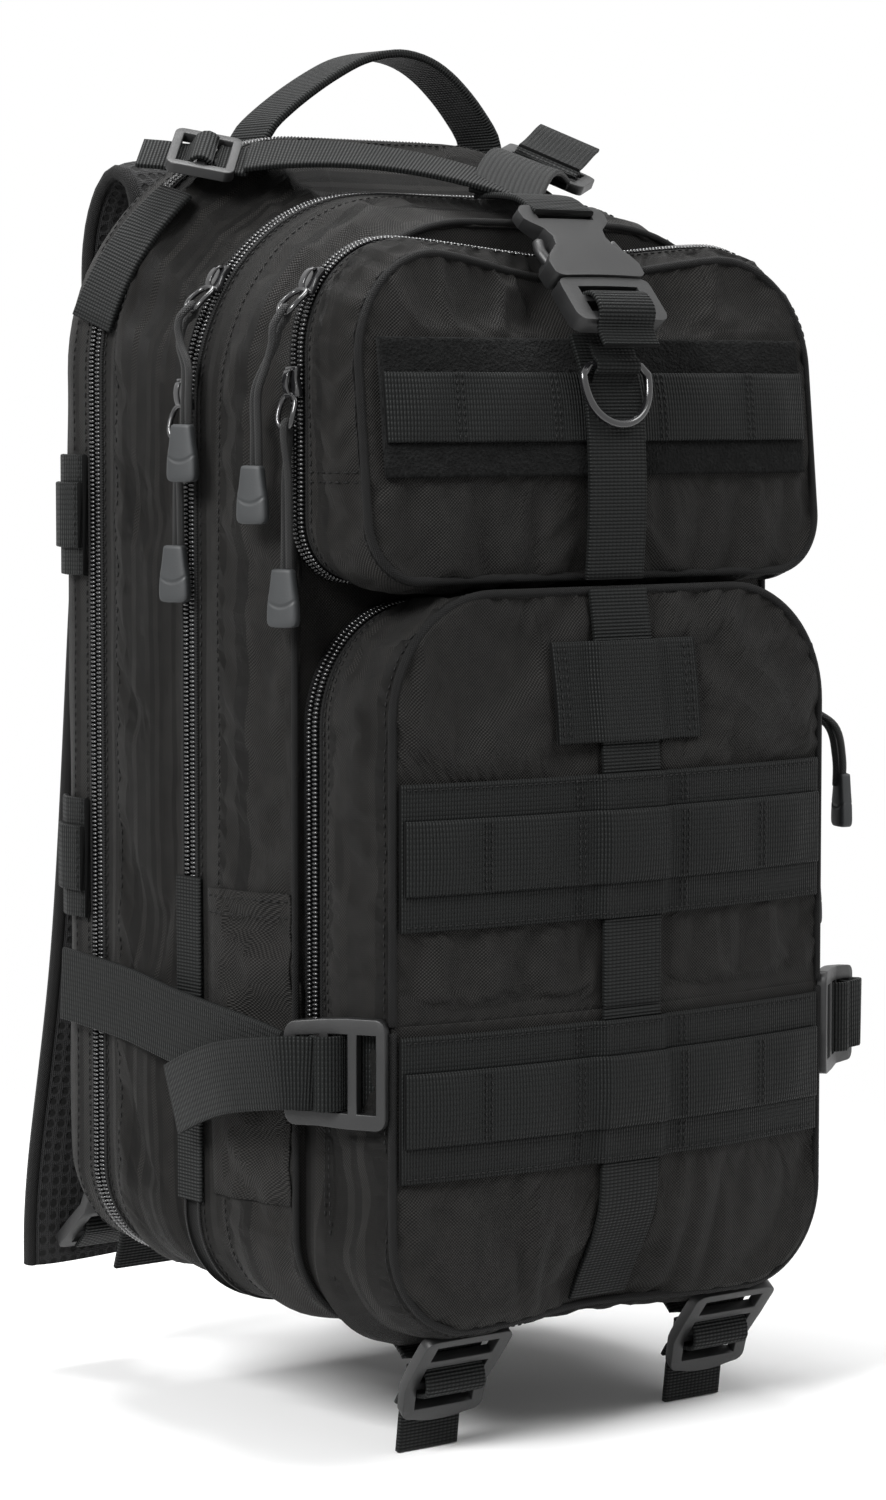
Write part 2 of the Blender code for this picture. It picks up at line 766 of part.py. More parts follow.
male_half = [
    (-MALE_LENGTH, BUCKLE_HALF_WIDTH - 0.003),
    (-MALE_LENGTH + 0.003, BUCKLE_HALF_WIDTH),
    (-0.004, BUCKLE_HALF_WIDTH),
    (-GAP, BUCKLE_HALF_WIDTH - 0.002),
]
male_slots = [
    box(-MALE_LENGTH + 0.004, -MALE_LENGTH + 0.009, -slot_half, slot_half),
    box(-MALE_LENGTH + 0.012, -MALE_LENGTH + 0.0165, -slot_half, slot_half),
]
male = plate(mirrored(male_half), male_slots, -half_buckle * 0.85, half_buckle * 0.85)
bmesh.ops.transform(male, matrix=buckle_place, verts=male.verts)
buckle_male = piece("buckle_male", male, PLASTIC, buckle_release)
prong_outline = [
    (-0.0025, prong_half - 0.001),
    (PRONG_LENGTH * 0.35, prong_half - 0.002),
    (PRONG_LENGTH * 0.5, prong_half),
    (PRONG_LENGTH * 0.8, prong_half - 0.001),
    (PRONG_LENGTH, prong_half - 0.005),
    (PRONG_LENGTH * 0.75, prong_half - 0.0055),
    (PRONG_LENGTH * 0.2, prong_half - 0.006),
    (0.002, 0.0045),
    (PRONG_LENGTH * 0.85, 0.0035),
]
prongs = plate(mirrored(prong_outline), [], -PRONG_THICKNESS / 2, PRONG_THICKNESS / 2)
bmesh.ops.transform(prongs, matrix=buckle_place, verts=prongs.verts)
combine(buckle_male, piece("prongs_join", prongs, PLASTIC, buckle_release), "UNION")

# Straps down the middle of the front.
half_strap = FRONT_STRAP_WIDTH / 2
strap_columns = (-half_strap, 0.0, half_strap)
front_low = upper_axis_height + 0.004
front_high = BUCKLE_MOUTH_HEIGHT - (MALE_LENGTH + 0.001) * math.cos(BUCKLE_TILT) - 0.004
front_rows = [(height, WEB_THICKNESS) for height in spaced(front_low, front_high, 6)]
piece("front_strap", slab(strap_columns, front_rows, upper_face, UPPER_STRAP_LIFT), WEBBING, buckle_release)
flap_rows = [(height, WEB_THICKNESS) for height in spaced(FLAP_LINE + GAP, LOWER_HIGH - 0.002, 8)]
piece("flap_strap", slab(strap_columns, flap_rows, lower_face, LOWER_STRAP_LIFT), WEBBING, lower_open)
base_rows = [(height, WEB_THICKNESS) for height in spaced(LOWER_LOW + 0.004, FLAP_LINE - GAP, 6)]
piece("base_strap", slab(strap_columns, base_rows, lower_face, LOWER_STRAP_LIFT), WEBBING, mid_open)

# D-ring on the front strap, hanging from its straight bar.
ring_lift = UPPER_STRAP_LIFT + WEB_THICKNESS + RING_WIRE / 2 + 4 * GAP
ring_depth = upper_face(0, RING_HEIGHT) - ring_lift
ring_swing = pivot("ring_swing", (0, ring_depth, RING_HEIGHT), buckle_release)
ring_half = (RING_WIDTH - RING_WIRE) / 2
ring_corner = RING_WIRE
ring_lean = upper_face(0, RING_HEIGHT - RING_DROP) - upper_face(0, RING_HEIGHT)
ring_down = Vector((0, ring_lean, -RING_DROP)).normalized()
ring_path = [Vector((x, 0, 0)) for x in spaced(-ring_half + ring_corner, ring_half - ring_corner, 2)]
for turn in spaced(0, 180, 10):
    angle = math.radians(turn)
    drop = ring_corner + (RING_DROP - RING_WIRE - ring_corner) * math.sin(angle) ** 0.8
    ring_path.append(Vector((ring_half * math.cos(angle), 0, 0)) + ring_down * drop)
ring_path = [PLACES["ring_swing"] + point for point in ring_path]
piece("d_ring", tube(ring_path, RING_WIRE / 2, 8, closed=True), METAL, ring_swing)


def main_outline(depth):
    """The outer outline of the main compartment at a depth."""
    stations = (
        (Y_MAIN_ZIP, MAIN.inset(-ZIP_CROWN)),
        (Y_MAIN, MAIN.inset(-ZIP_CROWN)),
        (Y_MAIN - MAIN_DEPTH * 0.4, belly),
        (Y_MAIN - MAIN_DEPTH * 0.75, shoulder),
        (Y_VALLEY, valley),
    )
    for (first, wide), (second, narrow) in zip(stations, stations[1:]):
        if depth >= second:
            return wide.towards(narrow, min(max((depth - first) / (second - first), 0), 1))
    return valley


def top_arc(side, angle, depth, lift):
    """A point and its normal just outside the rounded top corner, clear of it for a strap's whole width."""
    normal = Vector((side * math.cos(angle), 0, math.sin(angle)))
    spots = []
    for aside in (-WEB_WIDTH / 2, 0, WEB_WIDTH / 2):
        outline = main_outline(depth + aside * 0.9).inset(-lift)
        centre_x = side * (outline.half_width - outline.top_radius)
        centre = Vector((centre_x, depth, outline.high - outline.top_radius))
        spots.append(centre + normal * outline.top_radius)
    return max(spots, key=normal.dot), normal


def ladder(length, width, thickness, bars):
    """A buckle frame with slots between its cross bars and a raised lip at its far end."""
    step = (length - LOCK_BAR * 0.8) / (bars - 1)
    holes = []
    for index in range(bars - 1):
        start = -length / 2 + LOCK_BAR * 0.8 + step * index
        holes.append(box(start, start + step - LOCK_BAR * 0.8, -slot_half, slot_half))
    return plate(rounded(length / 2, width / 2, 0.005), holes, 0, thickness)


def lock_at(name, place, holder):
    """A ladder lock whose strap leaves at the far end of its length."""
    bm = ladder(LOCK_LENGTH, LOCK_WIDTH, LOCK_THICKNESS, 4)
    for vert in bm.verts:
        rise = ease((vert.co.x - LOCK_LENGTH / 6) / (LOCK_LENGTH / 3))
        vert.co.z += LOCK_THICKNESS * rise
    bmesh.ops.transform(bm, matrix=place, verts=bm.verts)
    made = piece(name, bm, PLASTIC, holder)
    ease_edges(made, 0.0007)
    return made


# Stem of the yoke: from the buckle's bar back over the top of the pocket.
bar = buckle_mouth + buckle_up * (FEMALE_LENGTH + 0.001) - buckle_out * 0.001
stem_rear = bar + Vector((0, YOKE_STEM, YOKE_STEM_RISE))
stem_path = [
    (bar, buckle_out),
    (bar.lerp(stem_rear, 0.3) + Vector((0, 0, YOKE_STEM_RISE * 0.4)), YOKE_UP),
    (stem_rear, YOKE_UP),
    (stem_rear + Vector((0, WEB_WIDTH * 0.4, 0)), YOKE_UP),
]
yoke_parts = [ribbon(stem_path, WEB_WIDTH, WEB_THICKNESS)]
for side, hand in ((-1, "left"), (1, "right")):
    # Yoke anchor: webbing from the side over the top corner to the triglide.
    anchor = []
    for share in spaced(0, 1, 6):
        angle = math.radians(12) + (TRIGLIDE_ANGLE - math.radians(12)) * share
        depth = Y_MAIN_ZIP - 0.004 - (TRIGLIDE_DEPTH + Y_MAIN_ZIP - 0.006) * share
        anchor.append(top_arc(side, angle - 0.17 * share, depth, GAP))
    piece(f"yoke_anchor_{hand}", ribbon(anchor, WEB_WIDTH, WEB_THICKNESS), WEBBING, pack)

    # Triglide lying on the top corner, in line with the yoke strap.
    seat, normal = top_arc(side, TRIGLIDE_ANGLE, -TRIGLIDE_DEPTH, 15 * GAP)
    along = Vector((side * 0.006, Y_POCKET + 0.012, UPPER_HIGH + 0.014)) - seat
    along.y *= 0.6
    glide = ladder(TRIGLIDE_LENGTH, TRIGLIDE_WIDTH, TRIGLIDE_THICKNESS, 3)
    bmesh.ops.transform(glide, matrix=frame_at(seat, along, normal), verts=glide.verts)
    made = piece(f"triglide_{hand}", glide, PLASTIC, main_open)
    ease_edges(made, 0.0007)

    # Yoke branch: from the triglide to the rear of the stem, where the branches are sewn together.
    start = seat + along.normalized() * (TRIGLIDE_LENGTH / 2 + 0.0060) + normal * 0.0040
    sewn = stem_rear + Vector((-side * YOKE_LAP, 0, side * WEB_THICKNESS * 0.3))
    branch = []
    for share in spaced(0, 1, 6):
        spot = start.lerp(sewn, share) + Vector((0, 0, YOKE_ARCH * 4 * share * (1 - share)))
        branch.append((spot, normal.lerp(YOKE_UP, share)))
    yoke_parts.append(ribbon(branch, WEB_WIDTH, WEB_THICKNESS))

    # Shoulder strap: a padded strap that rises from the top seam and hangs behind the pack.
    half_pad = STRAP_PAD_THICKNESS / 2
    strap_axis = Vector((side * STRAP_PAD_TOP_X, Y_BACK + half_pad + 2 * GAP, PAD_HIGH + half_pad + 0.005))
    swing = pivot(f"shoulder_swing_{hand}", strap_axis, pack)
    middle_x = STRAP_PAD_TOP_X + (STRAP_PAD_LOW_X - STRAP_PAD_TOP_X) * 0.25
    strap_path = [
        strap_axis + Vector((0, 0, -half_pad)),
        strap_axis + Vector((0, 0.0002, 0)),
        strap_axis + Vector((0, 0.004, 0.011)),
        strap_axis + Vector((0, 0.014, 0.016)),
        strap_axis + Vector((0, 0.025, 0.009)),
        Vector((side * STRAP_PAD_TOP_X, STRAP_PAD_REACH * 0.94, strap_axis.z - 0.012)),
        Vector((side * STRAP_PAD_TOP_X, STRAP_PAD_REACH, strap_axis.z - 0.055)),
        Vector((side * middle_x, STRAP_PAD_REACH * 0.94, BACK_CENTRE + 0.04)),
        Vector((side * (middle_x + STRAP_PAD_LOW_X) / 2, STRAP_PAD_REACH * 0.86, BACK_CENTRE * 0.55)),
        Vector((side * STRAP_PAD_LOW_X, STRAP_PAD_REACH * 0.92, STRAP_PAD_LOW + 0.035)),
        Vector((side * STRAP_PAD_LOW_X, STRAP_PAD_REACH, STRAP_PAD_LOW)),
    ]
    rings = []
    for index, point in enumerate(strap_path):
        before = strap_path[max(index - 1, 0)]
        after = strap_path[min(index + 1, len(strap_path) - 1)]
        along = (after - before).normalized()
        across = Vector((1, 0, 0)) - along * along.x
        outward = along.cross(across.normalized())
        slim = 0.35 if index == 0 else 1.0
        half = STRAP_PAD_WIDTH / 2
        section = rounded(half_pad * slim, half, half_pad * slim * 0.95, 2)
        rings.append([point + across.normalized() * b + outward * a for a, b in section])
    piece(f"shoulder_strap_{hand}", loft(rings), MESH, swing)

    # Ladder lock at the lower end of the shoulder strap, and the webbing from the pack's lower corner.
    end = strap_path[-1] + Vector((0, -half_pad - 0.0034, half_pad))
    lead = Vector((0, -0.75, 0.66)).normalized()
    lock_place = frame_at(end + lead * (LOCK_LENGTH / 2 + GAP), lead, Vector((0, 0.66, 0.75)))
    lock_at(f"shoulder_lock_{hand}", lock_place, swing)
    web_x = side * (STRAP_PAD_LOW_X - 0.006)
    top = PAD_LOW - 0.003
    under = end + lead * (LOCK_LENGTH * 0.8) + Vector((0, -0.0025, -0.0025))
    web_path = [
        (Vector((web_x, Y_BACK + GAP, top)), Vector((0, 1, 0))),
        (Vector((web_x, Y_BACK + 2 * GAP, top - 0.008)), Vector((0, 1, 0))),
        (Vector((web_x, under.y - 0.006, under.z - 0.004)), Vector((0, 1, 0.4))),
        (Vector((web_x, under.y - 0.003, under.z - 0.014)), Vector((0, 1, 0))),
        (Vector((web_x, under.y, STRAP_PAD_LOW)), Vector((0, 1, 0))),
    ]
    piece(f"shoulder_webbing_{hand}", ribbon(web_path, WEB_WIDTH, WEB_THICKNESS), WEBBING, pack)

    # Compression lock at the front corner of the lower pocket, its strap and its tail.
    turn = LEFT_LOCK_TURN if side < 0 else RIGHT_LOCK_TURN
    outward = Vector((side * math.sin(turn), -math.cos(turn), 0))
    rearward = Vector((side * math.cos(turn), math.sin(turn), 0))
    corner = Vector((side * (LOWER_SEAM.half_width + 2 * GAP), Y_FRONT + GAP, COMPRESSION_HEIGHT))
    corner -= outward * (RIGHT_LOCK_SEAT if side > 0 else 0)
    tilt = pivot(f"compression_tilt_{hand}", corner, mid_open)
    lock_place = frame_at(corner + rearward * (LOCK_LENGTH / 2 + GAP), rearward, outward)
    lock_at(f"compression_lock_{hand}", lock_place, tilt)
    rear = corner + rearward * (LOCK_LENGTH + 0.002)
    flank = side * (MAIN_HALF_WIDTH + MAIN_BELLY + 3 * GAP)
    facing = Vector((side, 0, 0))
    strap_x = side * max(abs(rear.x), abs(flank))
    front_depth = rear.y + 0.0015
    bend_depth = max(Y_MID_FACE + 0.012, front_depth + 0.016)
    strap_path = [
        (Vector((flank, Y_BACK - BACK_DEPTH / 2, COMPRESSION_HEIGHT + COMPRESSION_RISE)), facing),
        (Vector((flank, Y_MAIN - MAIN_DEPTH / 2, COMPRESSION_HEIGHT + COMPRESSION_RISE * 0.8)), facing),
        (Vector((flank, Y_MID_ZIP, COMPRESSION_HEIGHT + COMPRESSION_RISE * 0.5)), facing),
        (Vector((strap_x, bend_depth, COMPRESSION_HEIGHT + 0.003)), facing),
        (Vector((strap_x, front_depth, COMPRESSION_HEIGHT)), facing),
    ]
    piece(f"compression_strap_{hand}", ribbon(strap_path, WEB_WIDTH, WEB_THICKNESS), WEBBING, pack)
    tail_x = side * (abs(strap_x) + WEB_THICKNESS + 0.003)
    tail_path = [
        (corner + rearward * (LOCK_LENGTH * 0.72) + outward * (LOCK_THICKNESS * 1.3 + 3 * GAP), outward),
        (corner + rearward * (LOCK_LENGTH + 0.001) + outward * (LOCK_THICKNESS * 2 + 4 * GAP), outward),
    ]
    for share, out, sink in ((0.3, 0.004, 0.004), (0.65, 0.003, 0.010), (1.0, 0, 0.018)):
        spot = (tail_x + side * out, front_depth + TAIL_LENGTH * share, COMPRESSION_HEIGHT - sink)
        tail_path.append((Vector(spot), facing))
    piece(f"compression_tail_{hand}", ribbon(tail_path, WEB_WIDTH * 0.95, WEB_THICKNESS), WEBBING, tilt)

    # Bottom lock hanging below the front edge of the base, and its strap from further back.
    hang = Vector((0, math.sin(BOTTOM_LEAN), -math.cos(BOTTOM_LEAN)))
    face_out = Vector((0, -math.cos(BOTTOM_LEAN), -math.sin(BOTTOM_LEAN)))
    x = side * BOTTOM_STRAP_X + BOTTOM_SHIFT
    lock_top = Vector((x, Y_FRONT + 0.006, LOWER_LOW - LOCK_THICKNESS))
    lock_centre = lock_top + hang * (LOCK_LENGTH / 2) - face_out * LOCK_THICKNESS
    lock_at(f"bottom_lock_{hand}", frame_at(lock_centre, hang, face_out), mid_open)
    behind = lock_centre - face_out * (WEB_THICKNESS + 2 * GAP)
    under = mid_belly.low - 2 * GAP
    strap_path = [
        (Vector((x, Y_MID_FACE + 0.028, under)), Vector((0, 0, -1))),
        (Vector((x, Y_MID_FACE + 0.008, under - GAP)), Vector((0, 0, -1))),
        (Vector((x, Y_MID_FACE - 0.002, LOWER.low - 3 * GAP)), Vector((0, -0.2, -1))),
        (behind + hang * 0.003 + Vector((0, 0.004, 0.003)), Vector((0, -0.3, -1))),
        (behind + hang * 0.011, Vector((0, -1, -0.4))),
        (behind + hang * 0.015 + Vector((0, 0, -0.004)), Vector((0, -1, 0))),
        (Vector((x, behind.y + 0.012, LOWER_LOW - BOTTOM_DROP)), Vector((0, -1, 0))),
    ]
    piece(f"bottom_strap_{hand}", ribbon(strap_path, WEB_WIDTH, WEB_THICKNESS), WEBBING, mid_open)

yoke_strap = piece("yoke_strap", yoke_parts[0], WEBBING, upper_open)
for branch, hand in zip(yoke_parts[1:], ("left", "right")):
    combine(yoke_strap, piece(f"yoke_join_{hand}", branch, WEBBING, upper_open), "UNION")

# Carry handle: webbing that stands in an arch and folds about the line through its two ends.
end_radius = HANDLE_WIDTH / 2
handle_drop = MAIN_TOP_RADIUS - math.sqrt(
    MAIN_TOP_RADIUS**2 - max(HANDLE_HALF_SPAN - HANDLE_SHIFT - MAIN_HALF_WIDTH + MAIN_TOP_RADIUS, 0) ** 2
)
handle_axis = Vector((HANDLE_SHIFT, -HANDLE_DEPTH, MAIN_HIGH - handle_drop + end_radius - GAP))
handle_fold = pivot("handle_fold", handle_axis, pack)
arch = []
for share in (0.0, 0.5, 0.85):
    sunk = end_radius * (share - 1) if share else -end_radius
    arch.append((-HANDLE_HALF_SPAN, sunk, max(math.sqrt(max(1 - (sunk / end_radius) ** 2, 0)), 0.15)))
arch.append((-HANDLE_HALF_SPAN, 0, 1))
for turn in spaced(90, 0, 8)[1:]:
    angle = math.radians(turn)
    arch.append((-HANDLE_HALF_SPAN * math.sin(angle) ** 0.6, HANDLE_RISE * math.cos(angle) ** 0.75, 1))
arch = arch + [(-x, z, width) for x, z, width in reversed(arch[:-1])]
rings = []
for index, (x, z, width) in enumerate(arch):
    before = arch[max(index - 1, 0)]
    after = arch[min(index + 1, len(arch) - 1)]
    along = Vector((after[0] - before[0], 0, after[1] - before[1])).normalized()
    outward = Vector((-along.z, 0, along.x)) * (WEB_THICKNESS * 0.75)
    across = Vector((0, end_radius * width, 0))
    centre = handle_axis + Vector((x, 0, z))
    inside = [centre - across - outward, centre + across - outward]
    outside = [centre + across + outward, centre - across + outward]
    rings.append(inside + outside)
piece("carry_handle", loft(rings), WEBBING, handle_fold)


class Track(NamedTuple):
    """A zip's run: its outline, depth, side of the pack and the body that it belongs to."""

    outline: Outline
    depth: float
    side: int
    holder: object
    press: float


def on_track(track, angle, below, lift):
    """A point, its downward direction and its normal on a zip, from an angle in the top corner."""
    outline = track.outline
    radius = outline.top_radius + ZIP_CROWN + lift
    centre_x = track.side * (outline.half_width - outline.top_radius)
    centre = Vector((centre_x, track.depth, outline.high - outline.top_radius))
    run = angle * (outline.top_radius + ZIP_CROWN) - below
    if angle and run > 0:
        angle = run / (outline.top_radius + ZIP_CROWN)
        run = 0
    else:
        angle = 0
    normal = Vector((track.side * math.cos(angle), 0, math.sin(angle)))
    down = Vector((track.side * math.sin(angle), 0, -math.cos(angle)))
    return centre + normal * radius + Vector((0, 0, run)), down, normal


def slider_body():
    """A zip slider: a tapered plate with a ring at its lower end for the pull."""
    half = SLIDER_LENGTH / 2
    tip = half + SLIDER_RING
    outline = mirrored(
        [
            (-half, SLIDER_WIDTH * 0.30),
            (-half + 0.0015, SLIDER_WIDTH * 0.45),
            (half * 0.5, SLIDER_WIDTH * 0.5),
            (half, SLIDER_WIDTH * 0.38),
            (tip - 0.003, SLIDER_WIDTH * 0.48),
            (tip - 0.0008, SLIDER_WIDTH * 0.40),
            (tip, SLIDER_WIDTH * 0.25),
        ]
    )
    hole = mirrored([(half + 0.0015, SLIDER_WIDTH * 0.18), (tip - 0.0018, SLIDER_WIDTH * 0.31)])
    bm = plate(outline, [hole], 0, SLIDER_THICKNESS)
    for vert in bm.verts:
        vert.co.z += SLIDER_LIFT * ease((vert.co.x - half) / (SLIDER_RING * 0.75))
    return bm


def pull_bodies(track, angle, below, drift, length):
    """The cord through a slider's ring, from the pull's end up and back, and the moulded end."""
    reach = SLIDER_LENGTH / 2 + SLIDER_RING - 0.0009
    level = SLIDER_LIFT + SLIDER_THICKNESS / 2 + GAP
    loop = SLIDER_THICKNESS / 2 + CORD_RADIUS + 1.5 * GAP
    apart = CORD_RADIUS + 0.0006
    spot, down, facing = on_track(track, angle, below, level)
    bar = spot + down * reach
    bend = reach**2 / (2 * track.outline.top_radius) if angle else 0
    stand = min(abs(drift) * 0.2, 2 * LAY)

    def hung(drop):
        """The middle of the pull at a distance below the slider's bar."""
        aside_share = ease((drop - 0.006) / PULL_DRIFT_LENGTH)
        lift = level + bend + stand + (abs(drift) * 0.2 - stand) * aside_share
        point, _, normal = on_track(track, angle, below + reach + drop, lift)
        return point + Vector((0, drift * aside_share, 0)), normal

    outer = []
    inner = []
    aside = Vector((0, apart, 0))
    stations = (
        (length - 0.006, 0.0),
        (length * 0.65, 0.1),
        (length * 0.4, 0.15),
        (length * 0.25, 0.3),
        (0.007, 0.8),
    )
    for drop, share in stations:
        point, normal = hung(drop)
        outer.append(point + normal * loop * share - aside)
        inner.append(point - normal * loop * share + aside)
    over = []
    for turn, shift in ((0, -1), (0.8, -0.7), (math.pi / 2, 0), (math.pi - 0.8, 0.7), (math.pi, 1)):
        round_bar = facing * math.cos(turn) - down * math.sin(turn)
        over.append(bar + round_bar * loop + aside * shift)
    cord = tube(outer + over + inner[::-1], CORD_RADIUS, 6)
    rings = []
    for share, size in ((0, 0.62), (0.12, 0.86), (0.55, 1.0), (0.85, 0.92), (1.0, 0.55)):
        centre, normal = hung(length - PULL_END_LENGTH * (1 - share) + PULL_END_LENGTH / 2)
        half_across = PULL_END_WIDTH / 2 * size
        half_through = PULL_END_THICKNESS / 2 * min(size + 0.1, 0.9)
        section = rounded(half_through, half_across, half_through * 0.7, 2)
        rings.append([centre + normal * a + Vector((0, b, 0)) for a, b in section])
    return cord, loft(rings), bar


main_track = Track(MAIN, (Y_MAIN_ZIP + Y_MAIN) / 2, 1, main_open, 0)
mid_track = Track(MID, (Y_MID_ZIP + Y_MID) / 2, -1, mid_open, 0)
upper_track = Track(UPPER, (Y_MID_FACE + Y_POCKET) / 2, -1, upper_open, 0)
lower_track = Track(LOWER, (Y_MID_FACE + Y_POCKET) / 2, 1, mid_open, 0)
sliders = (
    ("main_zip_upper", main_track, 0, 0.045, -PULL_DRIFT, MAIN_PULL_LENGTH),
    ("main_zip_lower", main_track, 0, 0.074, 0, MAIN_PULL_LENGTH),
    ("mid_zip_upper", mid_track, 0.62, 0, -PULL_DRIFT, MID_PULL_LENGTH),
    ("mid_zip_lower", mid_track, 0, -0.006, 0, MID_PULL_LENGTH),
    ("upper_zip_upper", upper_track, 0.62, 0, PULL_DRIFT, UPPER_PULL_LENGTH),
    ("upper_zip_lower", upper_track, 0, 0.010, 0, UPPER_PULL_LENGTH),
    ("lower_zip_upper", lower_track, 0.62, 0, -2.6 * PULL_DRIFT, LOWER_PULL_LENGTH),
    ("lower_zip_lower", lower_track, 0, 0.010, -1.6 * PULL_DRIFT, LOWER_PULL_LENGTH),
)
for name, track, angle, below, drift, length in sliders:
    spot, down, normal = on_track(track, angle, below, GAP)
    if angle:
        outline = track.outline
        centre = (
            track.side * (outline.half_width - outline.top_radius),
            track.depth,
            outline.high - outline.top_radius,
        )
        run = pivot(f"{name}_run", centre, track.holder)
    else:
        run = pivot(f"{name}_run", spot, track.holder)
    body = slider_body()
    bmesh.ops.transform(body, matrix=frame_at(spot, down, normal), verts=body.verts)
    piece(f"{name}_slider", body, METAL, run)
    cord, end, hinge = pull_bodies(track, angle, below, drift, length)
    swing = pivot(f"{name}_swing", hinge, run)
    pull = piece(f"{name}_pull", end, GREY, swing)
    combine(pull, piece(f"{name}_cord", cord, GREY, swing), "UNION")
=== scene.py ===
"""Looks of the trauma backpack: cloth shells, zips, webbing, moulded fittings, floor, light and camera.

Heights are measured from just above the base and depths from the face of the back panel, in metres, and
each finished piece is then lowered so that the centre of the back panel lies at the origin.
"""

import json
import math

import bmesh
import bpy
from mathutils import Matrix, Vector, noise

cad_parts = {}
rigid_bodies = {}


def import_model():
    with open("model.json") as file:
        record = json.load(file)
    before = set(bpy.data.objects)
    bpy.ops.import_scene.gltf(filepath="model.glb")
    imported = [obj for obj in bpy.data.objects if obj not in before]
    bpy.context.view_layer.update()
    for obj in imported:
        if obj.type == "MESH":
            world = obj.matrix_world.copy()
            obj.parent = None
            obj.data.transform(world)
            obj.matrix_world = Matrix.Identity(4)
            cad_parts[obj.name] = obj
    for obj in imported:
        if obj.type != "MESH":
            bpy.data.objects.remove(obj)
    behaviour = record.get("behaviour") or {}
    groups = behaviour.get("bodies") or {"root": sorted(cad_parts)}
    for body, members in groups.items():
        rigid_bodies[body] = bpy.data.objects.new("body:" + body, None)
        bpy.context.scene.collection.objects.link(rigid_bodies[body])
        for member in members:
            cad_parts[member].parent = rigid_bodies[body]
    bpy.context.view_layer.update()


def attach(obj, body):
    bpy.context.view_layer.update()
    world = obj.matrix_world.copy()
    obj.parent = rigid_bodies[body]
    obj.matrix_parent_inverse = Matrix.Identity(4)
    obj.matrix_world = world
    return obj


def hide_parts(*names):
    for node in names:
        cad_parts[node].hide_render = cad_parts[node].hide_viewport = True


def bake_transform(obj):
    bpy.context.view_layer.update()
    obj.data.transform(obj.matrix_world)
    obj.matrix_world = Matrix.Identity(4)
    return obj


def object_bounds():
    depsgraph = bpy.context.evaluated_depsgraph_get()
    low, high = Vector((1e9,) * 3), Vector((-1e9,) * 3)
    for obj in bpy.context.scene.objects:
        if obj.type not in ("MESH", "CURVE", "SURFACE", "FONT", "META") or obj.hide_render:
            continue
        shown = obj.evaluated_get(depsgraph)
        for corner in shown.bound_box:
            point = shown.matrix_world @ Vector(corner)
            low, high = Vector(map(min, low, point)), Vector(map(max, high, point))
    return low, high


for thing in list(bpy.data.objects):
    bpy.data.objects.remove(thing, do_unlink=True)
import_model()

RISE = 0.215

# Depths of the layers, from the back panel to the front seam of the pockets
Y_BACK = -0.008
Y_MAIN_ZIP = -0.036
Y_MAIN = -0.044
Y_VALLEY = -0.087
Y_MID_ZIP = -0.098
Y_MID = -0.106
Y_FACE = -0.156
Y_POCKET = -0.167
Y_FRONT = -0.200

WEB = 0.028
WEB_THICK = 0.0022

AHEAD, BEHIND = Vector((0, -1, 0)), Vector((0, 1, 0))
UP, DOWN = Vector((0, 0, 1)), Vector((0, 0, -1))
HANDS = ((-1, "left"), (1, "right"))


def ease(share):
    share = min(max(share, 0.0), 1.0)
    return share * share * (3 - 2 * share)


def swell(share):
    return 1 - (1 - min(max(share, 0.0), 1.0)) ** 2


def bowed(value, power):
    """A number between -1 and 1 raised to a power, with its sign kept."""
    return math.copysign(abs(value) ** power, value)


def spaced(first, last, steps):
    """Evenly spaced numbers from the first to the last."""
    return [first + (last - first) * step / steps for step in range(steps + 1)]


def ripple(x, y, z, seed):
    """Smooth, repeatable unevenness between about -1 and 1."""
    return noise.noise(Vector((x, y + 17.3 * seed, z - 5.1 * seed)))


